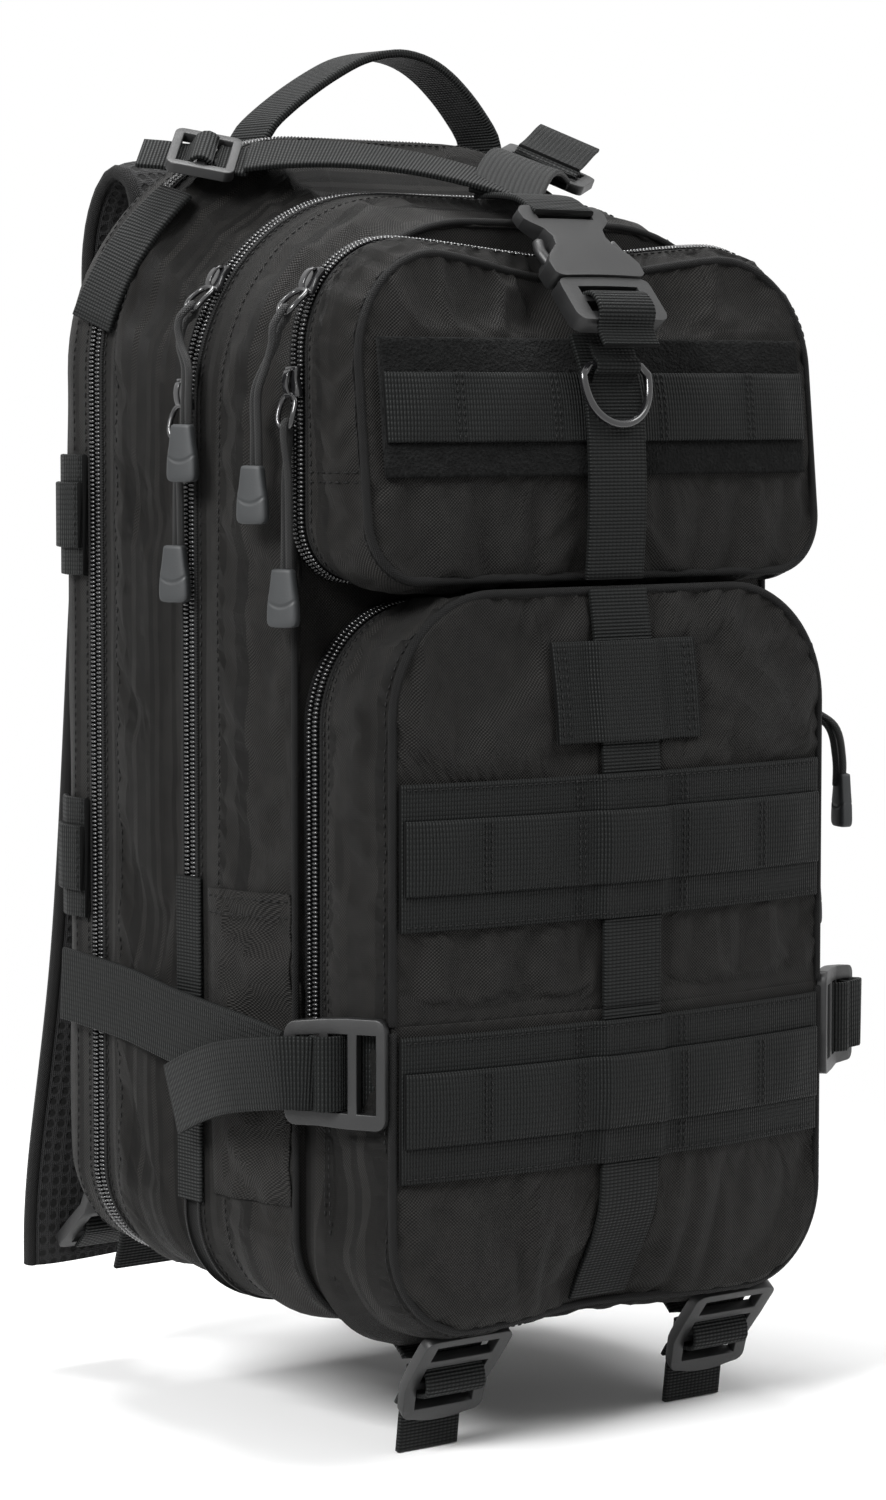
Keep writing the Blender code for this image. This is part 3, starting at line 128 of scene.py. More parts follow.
class Outline:
    """An upright outline with rounded corners, drawn from the middle of its foot and up its right side."""

    corner_steps = 20
    side_steps = 76
    edge_steps = 24
    sharpest = 0.003

    def __init__(self, half, low, high, top, foot):
        self.half = half
        self.low, self.high = low, high
        self.top, self.foot = top, foot

    def grown(self, by):
        corners = [max(radius + by, self.sharpest) for radius in (self.top, self.foot)]
        return Outline(self.half + by, self.low - by, self.high + by, *corners)

    def towards(self, other, share):
        mixed = []
        for name in ("half", "low", "high", "top", "foot"):
            mixed.append(getattr(self, name) + (getattr(other, name) - getattr(self, name)) * share)
        return Outline(*mixed)

    def corner(self, radius, height, start):
        """The points of a rounded corner, for a quarter turn from an angle."""
        found = []
        for step in range(self.corner_steps):
            turn = math.pi / 2 * step / self.corner_steps + start
            across, up = math.cos(turn), math.sin(turn)
            found.append((self.half - radius + radius * across, height + radius * up, across, up))
        return found

    def right_half(self):
        """Points (x, z, normal x, normal z) from the middle of the foot to the middle of the top."""
        found = []
        for step in range(self.edge_steps):
            found.append(((self.half - self.foot) * step / self.edge_steps, self.low, 0.0, -1.0))
        found += self.corner(self.foot, self.low + self.foot, -math.pi / 2)
        side = self.high - self.top - self.low - self.foot
        for step in range(self.side_steps):
            found.append((self.half, self.low + self.foot + side * step / self.side_steps, 1.0, 0.0))
        found += self.corner(self.top, self.high - self.top, 0.0)
        for step in range(self.edge_steps + 1):
            found.append(((self.half - self.top) * (1 - step / self.edge_steps), self.high, 0.0, 1.0))
        return found

    def points(self):
        right = self.right_half()
        left = [(-x, z, -across, up) for x, z, across, up in right[-2:0:-1]]
        return right + left

    def inside(self, x, z):
        """How far inside the outline a point lies."""
        upper = z > (self.low + self.high) / 2
        radius = self.top if upper else self.foot
        across = abs(x) - self.half + radius
        along = (z - self.high if upper else self.low - z) + radius
        return radius - math.hypot(max(across, 0), max(along, 0)) - min(max(across, along), 0)

    def ring(self, depth):
        """The outline at one depth, or at the depth that a face gives."""
        return [Vector((x, depth(x, z) if callable(depth) else depth, z)) for x, z, _, _ in self.points()]

    def shrunk(self, share, depth):
        """The outline drawn smaller about its middle, on a face."""
        middle = (self.low + self.high) / 2
        found = []
        for x, z, _, _ in self.points():
            x, z = x * share, middle + (z - middle) * share
            found.append(Vector((x, depth(x, z), z)))
        return found


MAIN = Outline(0.121, 0.004, 0.433, 0.090, 0.038)
MID = Outline(0.121, -0.005, 0.409, 0.080, 0.038)
MID_FACE = Outline(0.113, -0.007, 0.398, 0.080, 0.038)
UPPER = Outline(0.115, 0.268, 0.391, 0.042, 0.022)
UPPER_SEAM = Outline(0.107, 0.268, 0.387, 0.042, 0.022)
LOWER = Outline(0.109, -0.008, 0.2592, 0.045, 0.036)
LOWER_SEAM = Outline(0.1025, -0.004, 0.263, 0.045, 0.036)
PAD = Outline(0.098, 0.035, 0.395, 0.045, 0.045)
FLAP_LINE = 0.110
ROW_HEIGHTS = (0.170, 0.0795)
BAND_HEIGHT = 0.330
KEEPER_HEIGHT = 0.2265


def dent(x, z):
    """How far a point of the upper pocket is pressed down by the buckle, up to 1."""
    return ease((z - UPPER.high + 0.065) / 0.065) * math.exp(-((x / 0.052) ** 2))


def upper_plain(x, z):
    return Y_FRONT + 0.006 + 0.012 * (z - 0.268) / 0.123 + 0.014 * dent(x, z)


def upper_face(x, z):
    return upper_plain(x, z) - 0.006 * swell(UPPER_SEAM.inside(x, z) / 0.055)


def lower_plain(x, z):
    return Y_FRONT + 0.012 * ease(1 - (z + 0.004) / 0.045) * math.exp(-((x / 0.035) ** 2))


def lower_face(x, z):
    return lower_plain(x, z) - 0.009 * swell(LOWER_SEAM.inside(x, z) / 0.090)


# Drawing finishes


class Wiring:
    """A node tree in the making."""

    def __init__(self, tree):
        self.tree = tree

    def feed(self, socket, value):
        """Links a socket to another one, or sets its value."""
        if hasattr(value, "is_linked"):
            self.tree.links.new(value, socket)
        else:
            socket.default_value = value

    def give(self, node, **inputs):
        for key, value in inputs.items():
            self.feed(node.inputs[key.replace("_", " ")], value)
        return node

    def node(self, kind, **inputs):
        return self.give(self.tree.nodes.new("ShaderNode" + kind), **inputs)

    def sum(self, operation, *values):
        made = self.node("Math")
        made.operation = operation
        for socket, value in zip(made.inputs, values):
            self.feed(socket, value)
        return made.outputs[0]

    def span(self, value, low, high):
        return self.sum("MULTIPLY_ADD", value, high - low, low)


class Recipe(Wiring):
    """A finish in the making: its node tree and its shader."""

    def __init__(self, name, colour, roughness, **sockets):
        self.finish = bpy.data.materials.new(name)
        self.finish.use_nodes = True
        super().__init__(self.finish.node_tree)
        self.shader = self.tree.nodes["Principled BSDF"]
        self.give(self.shader, Base_Color=(*colour, 1), Roughness=roughness, **sockets)

    def blend(self, share, dark, light):
        made = self.node("Mix")
        made.data_type = "RGBA"
        for number, value in ((0, share), (6, (*dark, 1)), (7, (*light, 1))):
            self.feed(made.inputs[number], value)
        return made.outputs[2]

    def laid(self, across, along):
        """The cloth's own flat coordinates, counted in threads."""
        split = self.node("SeparateXYZ", Vector=self.node("TexCoord").outputs["UV"])
        return self.sum("DIVIDE", split.outputs[0], across), self.sum("DIVIDE", split.outputs[1], along)

    def wave(self, count):
        return self.sum("SINE", self.sum("MULTIPLY", count, math.pi))

    def thread(self, count):
        return self.sum("ABSOLUTE", self.wave(count))

    def cloud(self, scale, detail=2.0):
        place = self.node("TexCoord").outputs["Object"]
        return self.node("TexNoise", Vector=place, Scale=scale, Detail=detail).outputs[0]

    def done(self, height, depth, strength=1.0, **shares):
        """The finish, with its relief and what else changes over it."""
        relief = self.node("Bump", Strength=strength, Distance=depth, Height=height)
        self.give(self.shader, Normal=relief.outputs[0], **shares)
        return self.finish


def grey(level):
    return (level, level, level)


def pack_cloth(name, dark, light, pitch=0.00125):
    """Coated pack cloth in a basket weave of thick yarns."""
    made = Recipe(name, light, 0.72, Sheen_Weight=0.02, Sheen_Roughness=0.4, Specular_IOR_Level=0.17)
    u, v = made.laid(pitch / 2, pitch / 2)
    height = made.span(made.sum("MULTIPLY", made.wave(u), made.wave(v)), 0.5, 1.0)
    worn = made.span(made.cloud(9.0, 4.0), 0.55, 1.25)
    lint = made.span(made.cloud(170.0), -0.22, 0.22)
    # Painted shade and highlight in the weave: the colour follows the yarns' relief, darker in the valleys and
    # lighter on the yarn tops. A slow random worn tone and fine lint vary it over the cloth.
    share = made.sum("MULTIPLY", made.sum("POWER", height, 1.5), worn)
    tint = made.blend(made.sum("ADD", share, lint), dark, light)
    return made.done(height, 0.00038, Base_Color=tint, Roughness=made.span(height, 0.84, 0.52))


def webbing(name, dark, light, rib=0.0013, column=0.0019):
    """Ribbed narrow webbing: ribs across it and columns of warp along it."""
    made = Recipe(name, light, 0.6, Sheen_Weight=0.01, Sheen_Roughness=0.4, Specular_IOR_Level=0.15)
    u, v = made.laid(rib, column)
    height = made.sum("MULTIPLY", made.thread(u), made.span(made.thread(v), 0.62, 1.0))
    worn = made.span(made.cloud(14.0, 3.0), 0.5, 1.3)
    # Painted shade and highlight in the ribs: the colour follows their relief, darker between the ribs and lighter
    # on their crests, times a slow random worn tone.
    tint = made.blend(made.sum("MULTIPLY", height, worn), dark, light)
    return made.done(height, 0.00055, Base_Color=tint, Roughness=made.span(height, 0.9, 0.38))


def loop_pile():
    made = Recipe("loop_pile", grey(0.006), 0.95, Sheen_Weight=0.02, Sheen_Roughness=0.6, Specular_IOR_Level=0.08)
    tufts = made.span(made.cloud(260.0), 0.2, 1.6)
    # Painted shade and highlight in the pile: one noise gives both the relief and the colour, so the hollows
    # between tufts are painted dark and the tufts' tops light.
    share = made.sum("MULTIPLY", made.cloud(900.0, 3.0), tufts)
    return made.done(share, 0.0016, Base_Color=made.blend(share, grey(0.0006), (0.0150, 0.0155, 0.0155)))


def spacer_mesh():
    """Air mesh: round holes in staggered rows."""
    made = Recipe("spacer_mesh", grey(0.012), 0.85, Sheen_Weight=0.05, Sheen_Roughness=0.5, Specular_IOR_Level=0.25)
    place = made.node("TexCoord").outputs["UV"]
    cell = made.node("TexVoronoi", Vector=place, Scale=230.0, Randomness=0.12)
    hole = made.node("MapRange", Value=cell.outputs["Distance"], From_Min=0.26, From_Max=0.42)
    u, v = made.laid(0.0008, 0.0008)
    knit = made.span(made.sum("MULTIPLY", made.thread(u), made.thread(v)), 0.7, 1.0)
    # Painted shade in the holes and between the knit threads: the colour follows the relief, dark in the holes and
    # in the knit's valleys and lighter on the threads' tops.
    height = made.sum("MULTIPLY", hole.outputs[0], knit)
    return made.done(height, 0.0012, Base_Color=made.blend(height, grey(0.0012), (0.0160, 0.0160, 0.0165)))


def braided():
    """Braided cord: strands that cross each other round the cord."""
    made = Recipe("braided_cord", grey(0.008), 0.6, Sheen_Weight=0.04, Sheen_Roughness=0.4, Specular_IOR_Level=0.35)
    u, v = made.laid(0.0011, 0.0011)
    # Painted shade and highlight on the braid: the colour follows the strands' relief, darker where they cross
    # under and lighter on their crowns.
    height = made.sum("MULTIPLY", *[made.thread(made.sum(lean, u, v)) for lean in ("ADD", "SUBTRACT")])
    return made.done(height, 0.0004, Base_Color=made.blend(height, grey(0.0012), (0.0190, 0.0195, 0.0195)))


def hard(name, colour, roughness, marks, tints, shine, grain, **sockets):
    """A hard finish: marks that change its colour and shine, and a fine grain."""
    made = Recipe(name, colour, roughness, **sockets)
    spots = made.cloud(*marks)
    scale, depth, strength = grain
    tint, gloss = made.blend(spots, *tints), made.span(spots, *shine)
    return made.done(made.cloud(scale), depth, strength, Base_Color=tint, Roughness=gloss)


def moulded(name, colour, roughness, grain=0.00012, scale=2600.0):
    """Moulded plastic with a fine spark-eroded grain and handling marks."""
    lighter = tuple(min(c * 1.7 + 0.002, 1.0) for c in colour)
    shine = (roughness - 0.08, roughness + 0.12)
    return hard(
        name, colour, roughness, (70.0, 5.0), (colour, lighter), shine, (scale, grain, 0.5), Specular_IOR_Level=0.5
    )


CLOTH = pack_cloth("pack_cloth", (0.0006, 0.0006, 0.0005), (0.0265, 0.0250, 0.0232))
LINING = pack_cloth("lining_cloth", grey(0.002), (0.014, 0.014, 0.0145), 0.0009)
TAPE = pack_cloth("zip_tape", grey(0.0012), grey(0.0105), 0.0010)
WEBBING = webbing("ribbed_webbing", (0.0004, 0.0005, 0.0005), (0.0118, 0.0130, 0.0127))
WIDE_WEBBING = webbing("row_webbing", (0.0004, 0.0005, 0.0005), (0.0108, 0.0119, 0.0116), 0.0012, 0.0016)
PILE = loop_pile()
AIR_MESH = spacer_mesh()
PLASTIC = moulded("satin_plastic", (0.0065, 0.0066, 0.0068), 0.42)
RUBBER = moulded("grey_pull", (0.0165, 0.0180, 0.0190), 0.55, 0.0001, 1800.0)
METAL = hard(
    "lacquered_metal", (0.012, 0.012, 0.013), 0.16, (120.0, 5.0), ((0.004, 0.004, 0.0045), (0.014, 0.014, 0.015)),
    (0.1, 0.3), (420.0, 0.00006, 0.4), Coat_Weight=0.6, Coat_Roughness=0.08,
)
CORD = braided()
THREAD = hard(
    "sewing_thread", grey(0.008), 0.6, (900.0, 2.0), (grey(0.002), grey(0.012)), (0.6, 0.6), (2600.0, 0.0001, 0.6),
    Specular_IOR_Level=0.2,
)
COIL = hard(
    "zip_coil", (0.014, 0.014, 0.0145), 0.22, (300.0, 3.0), ((0.003, 0.003, 0.0033), (0.011, 0.011, 0.0115)),
    (0.12, 0.26), (1400.0, 0.00008, 0.4), Specular_IOR_Level=0.6, Coat_Weight=0.6, Coat_Roughness=0.1,
)

# Making pieces


def make(name, bm, finish, body, nodes=(), wall=0.0, edge=0.0):
    """Lowers a finished form to its place and makes it a piece that moves with one body."""
    bmesh.ops.translate(bm, vec=(0, 0, -RISE), verts=bm.verts)
    form = bpy.data.meshes.new(name)
    bm.to_mesh(form)
    bm.free()
    form.materials.append(finish)
    form.shade_smooth()
    made = bpy.data.objects.new(name, form)
    bpy.context.scene.collection.objects.link(made)
    if wall:
        lined = made.modifiers.new("lining", "SOLIDIFY")
        lined.thickness = wall
        lined.offset = -1
    if edge:
        eased = made.modifiers.new("eased_edges", "BEVEL")
        eased.width = edge
        eased.segments = 3
        eased.limit_method = "ANGLE"
        eased.angle_limit = math.radians(32)
    if body:
        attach(made, body)
    if nodes:
        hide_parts(*nodes)
    return made


def cloth(name, bm, body, nodes=(), wall=0.002, finish=CLOTH):
    return make(name, bm, finish, body, nodes, wall=wall)


def lengths(points):
    """Distances along a row of points, from its first."""
    found = [0.0]
    for first, second in zip(points, points[1:]):
        found.append(found[-1] + (second - first).length)
    return found


def put_in_order(bm, place):
    """Sorts a form's points, edges and faces, so that they come out alike in every run."""
    bm.verts.sort(key=place)
    bm.verts.index_update()
    total = len(bm.verts)

    def lowest_first(item):
        numbers = [vert.index for vert in item.verts]
        return min(numbers) * total + max(numbers)

    for group in (bm.edges, bm.faces):
        group.sort(key=lowest_first)
        group.index_update()


def skin(rings, front=False, closed_ends=False, lay="around"):
    """A surface through rings of equally many points, made by extruding one loop from ring to ring.

    Its flat coordinates run around the ring and from ring to ring, or across and up on a front.
    """
    bm = bmesh.new()
    spot = bm.verts.layers.int.new("spot")
    row = bm.verts.layers.int.new("row")
    flat = bm.loops.layers.uv.new("flat")
    count = len(rings[0])
    loop = bmesh.ops.create_circle(bm, segments=count, radius=1)["verts"]
    for index, (vert, point) in enumerate(zip(loop, rings[0])):
        vert[spot] = index
        vert.co = point
    edges = bm.edges[:]
    ends = [edges]
    for number, points in enumerate(rings[1:], 1):
        grown = bmesh.ops.extrude_edge_only(bm, edges=edges)["geom"]
        new = {item for item in grown if isinstance(item, bmesh.types.BMVert)}
        for vert in new:
            vert[row] = number
            vert.co = points[vert[spot]]
        edges = [item for item in grown if isinstance(item, bmesh.types.BMEdge) and new.issuperset(item.verts)]
    ends.append(edges)
    if closed_ends:
        for rim in ends:
            bmesh.ops.edgeloop_fill(bm, edges=rim)
    put_in_order(bm, lambda vert: vert[row] * count + vert[spot])
    around = lengths(rings[0] + rings[0][:1])
    if lay == "along":
        wide = lengths([sum(ring, Vector()) / count for ring in rings])
    else:
        wide = lengths([max(ring, key=lambda point: point.x) for ring in rings])
    for face in bm.faces:
        spots = [vert[spot] for vert in face.verts]
        wrapped = max(spots) - min(spots) > count / 2
        for corner in face.loops:
            vert = corner.vert
            if front:
                corner[flat].uv = (vert.co.x, vert.co.z)
            else:
                index = vert[spot] + (count if wrapped and vert[spot] < count / 2 else 0)
                place = (around[min(index, count)], wide[vert[row]])
                corner[flat].uv = place if lay == "around" else (place[1], place[0])
    return bm


def face_outward(bm, direction=None):
    """Turns an open surface so that its faces look outward, or along a direction."""
    if direction is None:
        middle = sum((vert.co for vert in bm.verts), Vector()) / len(bm.verts)
        looks = sum((face.calc_center_median() - middle).dot(face.normal) * face.calc_area() for face in bm.faces)
    else:
        looks = sum(face.normal.dot(direction) * face.calc_area() for face in bm.faces)
    if looks < 0:
        bmesh.ops.reverse_faces(bm, faces=bm.faces[:])
    return bm


def shell(rings):
    bm = skin(rings)
    bm.normal_update()
    return face_outward(bm)


def fill_rim(bm, chosen):
    """Fills the open rim whose corners are all chosen."""
    rim = [edge for edge in bm.edges if edge.is_boundary and all(chosen(vert) for vert in edge.verts)]
    bmesh.ops.edgeloop_fill(bm, edges=rim)


def lay_flat(bm, flat, tilt=0.0):
    """Lays a sheet's flat coordinates out across and up."""
    for face in bm.faces:
        for corner in face.loops:
            place = corner.vert.co
            corner[flat].uv = (place.x + tilt * place.y, place.z)
    bm.normal_update()


def front_panel(rings):
    """A panel drawn in from its seam; the last, smallest ring is filled."""
    bm = skin(rings, front=True)
    row = bm.verts.layers.int["row"]
    fill_rim(bm, lambda vert: vert[row] == len(rings) - 1)
    lay_flat(bm, bm.loops.layers.uv["flat"])
    return face_outward(bm, AHEAD)


def patch(rows):
    """An open sheet of cloth through rows of points, laid out flat across and up."""
    bm = bmesh.new()
    bmesh.ops.create_grid(bm, x_segments=len(rows[0]) - 1, y_segments=len(rows) - 1, size=1)
    ordered = sorted(bm.verts, key=lambda vert: (round(vert.co.y, 5), vert.co.x))
    for vert, point in zip(ordered, [point for row in rows for point in row]):
        vert.co = point
    lay_flat(bm, bm.loops.layers.uv.new("flat"), 1.0)
    return bm


def smoothed(path, step=0.003):
    """A finer path of (point, normal) through a few given ones, on one smooth curve."""
    points = [point for point, _ in path]
    normals = [normal.normalized() for _, normal in path]
    found = []
    for index in range(len(path) - 1):
        p0 = points[max(index - 1, 0)]
        p1, p2 = points[index], points[index + 1]
        p3 = points[min(index + 2, len(points) - 1)]
        parts = max(int((p2 - p1).length / step), 1)
        for part in range(parts):
            t = part / parts
            bend = (
                2 * p1
                + (p2 - p0) * t
                + (2 * p0 - 5 * p1 + 4 * p2 - p3) * t**2
                + (3 * p1 - p0 - 3 * p2 + p3) * t**3
            )
            found.append((bend / 2, normals[index].lerp(normals[index + 1], t).normalized()))
    found.append((points[-1], normals[-1]))
    return found


def solid(rings, closed=False):
    """A form through rings, with both ends filled or joined to each other."""
    if closed:
        rings = rings + [[point.copy() for point in rings[0]]]
    bm = skin(rings, closed_ends=not closed, lay="along")
    if closed:
        bmesh.ops.remove_doubles(bm, verts=bm.verts[:], dist=1e-7)
    bmesh.ops.recalc_face_normals(bm, faces=bm.faces[:])
    return bm


def sweep(path, section, closed=False):
    """A section carried along a path: its first number lies across the path, its second along the normal."""
    rings = []
    for index, (point, normal) in enumerate(path):
        before = path[index - 1][0] if closed or index else point
        after = path[(index + 1) % len(path)][0] if closed or index < len(path) - 1 else point
        along = (after - before).normalized()
        across = along.cross(normal).normalized()
        outward = across.cross(along).normalized()
        rings.append([point + across * a + outward * b for a, b in section])
    return solid(rings, closed)


def flat_section(width, thick):
    """Webbing cut across: flat faces and rounded selvedges."""
    half, edge = width / 2, thick * 0.35
    right = [(half - edge * 0.3, thick * 0.93), (half - edge, thick), (half - 3 * edge, thick)]
    upper = right + [(0.0, thick)] + [(-across, out) for across, out in right[::-1]]
    lower = [(-across, thick - out) for across, out in upper]
    return [(half, thick * 0.5)] + upper + [(-half, thick * 0.5)] + lower


def round_section(radius, sides=10):
    return [(radius * math.cos(turn), radius * math.sin(turn)) for turn in spaced(0, math.tau, sides)[:-1]]


def strap(name, path, body, nodes=(), width=WEB, thick=WEB_THICK, finish=WEBBING, step=0.003):
    return make(name, sweep(smoothed(path, step), flat_section(width, thick)), finish, body, nodes)


def run(normal, *places):
    """A path through places that has one normal."""
    return [(Vector(place), normal) for place in places]


def laid_on(place, normal, *stops):
    """A path on a placed form, from distances along the form and above it."""
    return [(place @ Vector((along, 0, up)), normal) for along, up in stops]


def spread(bm_template, places):
    """One small form set down at many places."""
    template = bpy.data.meshes.new("template")
    bm_template.to_mesh(template)
    bm_template.free()
    bm = bmesh.new()
    for place in places:
        template.transform(place)
        bm.from_mesh(template)
        template.transform(place.inverted())
    bpy.data.meshes.remove(template)
    return bm


def set_at(point, along, outward):
    """Places a form: its length along one direction and its top outward."""
    along = along.normalized()
    outward = (outward - along * outward.dot(along)).normalized()
    across = outward.cross(along)
    return Matrix.Translation(point) @ Matrix((along, across, outward)).transposed().to_4x4()


def bead(length, width, height):
    bm = bmesh.new()
    bmesh.ops.create_icosphere(bm, subdivisions=1, radius=0.5)
    bmesh.ops.scale(bm, vec=(length, width, height), verts=bm.verts)
    return bm


def evenly(path, pitch, start=0.0):
    """Points, directions and normals at an even pitch along a path of (point, normal)."""
    found = []
    left = start
    for (first, normal), (second, after) in zip(path, path[1:]):
        run = (second - first).length
        if run < 1e-9:
            continue
        while left <= run:
            share = left / run
            found.append((first.lerp(second, share), second - first, normal.lerp(after, share)))
            left += pitch
        left -= run
    return found


STITCH = 0.0034


def stitches(name, paths, body, pitch=STITCH):
    """Rows of thread, each stitch a short bead half sunk in the cloth."""
    places = []
    for path in paths:
        for point, along, outward in evenly(path, pitch, pitch / 2):
            places.append(set_at(point + outward.normalized() * 0.00015, along, outward))
    return make(name, spread(bead(pitch * 0.74, 0.0007, 0.0006), places), THREAD, body)


def outline_path(outline, depth, press=None, first=0, last=None):
    """An outline as a path with its outward normals, at a depth or on a face."""
    found = []
    points = outline.points()
    points = points + points[:1]
    for x, z, across, up in points[first:last]:
        y = depth(x, z) if callable(depth) else depth
        point = Vector((x, y, z))
        if press:
            point.z -= press * 0.010 * dent(x, z)
        found.append((point, Vector((across, 0, up))))
    return found


def pressed(ring, share):
    """Moves points of the upper pocket down where the buckle lies over them."""
    return [point - Vector((0, 0, 0.010 * share * dent(point.x, point.z))) for point in ring]


# Cloth shells


def worked(rings, outlines, folds, gathered=0.0):
    """Cloth drawn into soft folds between its two seams, which stay in place.

    Each fold layer has a height, a length along the seam, a width across it and a seed. Gathered cloth
    has deeper folds towards its foot.
    """
    done = []
    last = len(rings) - 1
    for number, (ring, outline) in enumerate(zip(rings, outlines)):
        free = math.sin(math.pi * number / last) ** 0.7 if 0 < number < last else 0.0
        moved = []
        for point, (_, _, across, up) in zip(ring, outline.points()):
            out = 0.0
            for height, length, width, seed in folds:
                out += height * ripple(point.x / length, point.y / width, point.z / length, seed)
            out *= free * (1 + gathered * ease((0.11 - point.z) / 0.10))
            moved.append(point + Vector((across, 0, up)) * out)
        done.append(moved)
    return done


def between(stations, steps):
    """Outlines and depths between given ones, on smooth curves."""
    found = []
    for index in range(len(stations) - 1):
        (wide, first), (narrow, second) = stations[index], stations[index + 1]
        for part in range(steps):
            share = part / steps
            found.append((wide.towards(narrow, share), first + (second - first) * share))
    found.append(stations[-1])
    return found


def rounded_profile(stations, steps):
    """Like between(), with the corners between the stations taken off."""
    fine = between(stations, steps)
    for _ in range(2):
        eased = [fine[0]]
        for before, here, after in zip(fine, fine[1:], fine[2:]):
            outline = before[0].towards(after[0], 0.5).towards(here[0], 0.5)
            eased.append((outline, (before[1] + after[1]) / 4 + here[1] / 2))
        fine = eased + [fine[-1]]
    return fine


def settled(rings, outwards, slack, hem=0, most_out=0.0010, most_in=0.0045, most_along=0.002, held=None):
    """Lets cloth that is cut a little too long hang, crease and fill out between its seams.

    The first and last ring stay in place, and so do a hem of rings after the first and what held() says is
    sewn down. Other points move outward, inward and along the cloth no further than the three limits.
    """
    bm = skin(rings)
    spot, row = bm.verts.layers.int["spot"], bm.verts.layers.int["row"]
    places = [(vert[row], vert[spot]) for vert in bm.verts]
    form = bpy.data.meshes.new("cloth")
    bm.to_mesh(form)
    bm.free()
    cut = bpy.data.objects.new("cloth", form)
    bpy.context.scene.collection.objects.link(cut)
    seam = cut.vertex_groups.new(name="seam")
    fixed = []
    for index, (number, at) in enumerate(places):
        if number <= hem or number == len(rings) - 1 or (held and held(rings[number][at])):
            fixed.append(index)
    seam.add(fixed, 1.0, "REPLACE")
    cloth = cut.modifiers.new("cloth", "CLOTH")
    cloth.settings.quality = 6
    cloth.settings.mass = 0.25
    cloth.settings.tension_stiffness = 15
    cloth.settings.compression_stiffness = 15
    cloth.settings.shear_stiffness = 5
    cloth.settings.bending_stiffness = 1.0
    cloth.settings.vertex_group_mass = "seam"
    cloth.settings.shrink_min = -slack
    cloth.settings.effector_weights.gravity = 0.5
    cloth.collision_settings.use_self_collision = False
    for moment in range(1, 17):
        bpy.context.scene.frame_set(moment)
    hung = cut.evaluated_get(bpy.context.evaluated_depsgraph_get())
    found = [list(ring) for ring in rings]
    for (number, at), vert in zip(places, hung.data.vertices):
        outward = outwards[number][at]
        move = vert.co - rings[number][at]
        out = move.dot(outward)
        along = move - outward * out
        limit = most_out if out > 0 else most_in
        out = limit * math.tanh(out / limit)
        along *= math.tanh(along.length / most_along) * most_along / max(along.length, 1e-9)
        found[number][at] = rings[number][at] + outward * out + along
    bpy.context.scene.frame_set(1)
    bpy.data.objects.remove(cut, do_unlink=True)
    return found


def outward_of(outlines):
    return [[Vector((across, 0, up)) for _, _, across, up in outline.points()] for outline in outlines]


def cloth_band(stations, steps, folds, gathered=0.0, slack=0.0):
    """The rings and outlines of a folded band of cloth between two seams."""
    fine = rounded_profile(stations, steps)
    outlines = [outline for outline, _ in fine]
    rings = worked([outline.ring(depth) for outline, depth in fine], outlines, folds, gathered)
    if slack:
        rings = settled(rings, outward_of(outlines), slack, hem=len(rings) // 5)
    return rings, outlines


def seam_line(band, at, lift=0.0002):
    """A line of stitching on a band, at a share of the way from its first seam to its last."""
    rings, outlines = band
    spot = at * (len(rings) - 1)
    number = min(int(spot), len(rings) - 2)
    found = []
    for near, far, (_, _, across, up) in zip(rings[number], rings[number + 1], outlines[number].points()):
        normal = Vector((across, 0, up))
        found.append((near.lerp(far, spot - number) + normal * lift, normal))
    return found + found[:1]


def side_point(ring, side, height):
    """Where a ring of a band passes a height on one side of the pack."""
    near = sorted((point for point in ring if point.x * side > 0.06), key=lambda point: point.z)
    for low, high in zip(near, near[1:]):
        if low.z <= height < high.z:
            return low.lerp(high, (height - low.z) / (high.z - low.z))
    return near[0].copy()


def side_line(band, side, height, lift=0.0002):
    """A line of stitching on a band that runs level from its first seam to its last."""
    facing = Vector((side, 0, 0))
    return [(side_point(ring, side, height) + facing * lift, facing) for ring in band[0]]


valley = MAIN.towards(MID, 0.9).grown(-0.007)
belly = MAIN.towards(MID, 0.15).grown(0.003)
shoulder = MAIN.towards(MID, 0.6)
mid_belly = MID.towards(MID_FACE, 0.3).grown(0.002)
mid_edge = MID.towards(MID_FACE, 0.8)

back_side = cloth_band(
    [(MAIN, Y_MAIN_ZIP + 0.0002), (MAIN.grown(-0.0005), -0.022), (MAIN.grown(-0.005), -0.0115)]
    + [(MAIN.grown(-0.010), Y_BACK), (MAIN.grown(-0.020), Y_BACK)],
    5,
    [(0.0012, 0.08, 0.02, 1), (0.0006, 0.03, 0.012, 2)],
)
back_band = shell(back_side[0])
fill_rim(back_band, lambda vert: vert.co.y > Y_BACK - 0.001)
cloth("back_tray", back_band, "back", ["back_shell"])
stitches("back_stitches", [seam_line(back_side, at) for at in (0.06, 0.22)], "back")

main_side = cloth_band(
    [
        (MAIN, Y_MAIN - 0.0002),
        (belly, Y_MAIN - 0.0172),
        (shoulder, Y_MAIN - 0.0322),
        (valley, Y_VALLEY),
        (MID.grown(-0.001), Y_MID_ZIP + 0.0003),
    ],
    7,
    [(0.0024, 0.13, 0.017, 3), (0.0012, 0.05, 0.010, 4), (0.0004, 0.018, 0.012, 5)],
    0.8,
    0.04,
)
cloth("main_gusset", shell(main_side[0]), "main_front", ["main_shell"])
stitches("main_stitches", [seam_line(main_side, at) for at in (0.035, 0.20, 0.97)], "main_front")

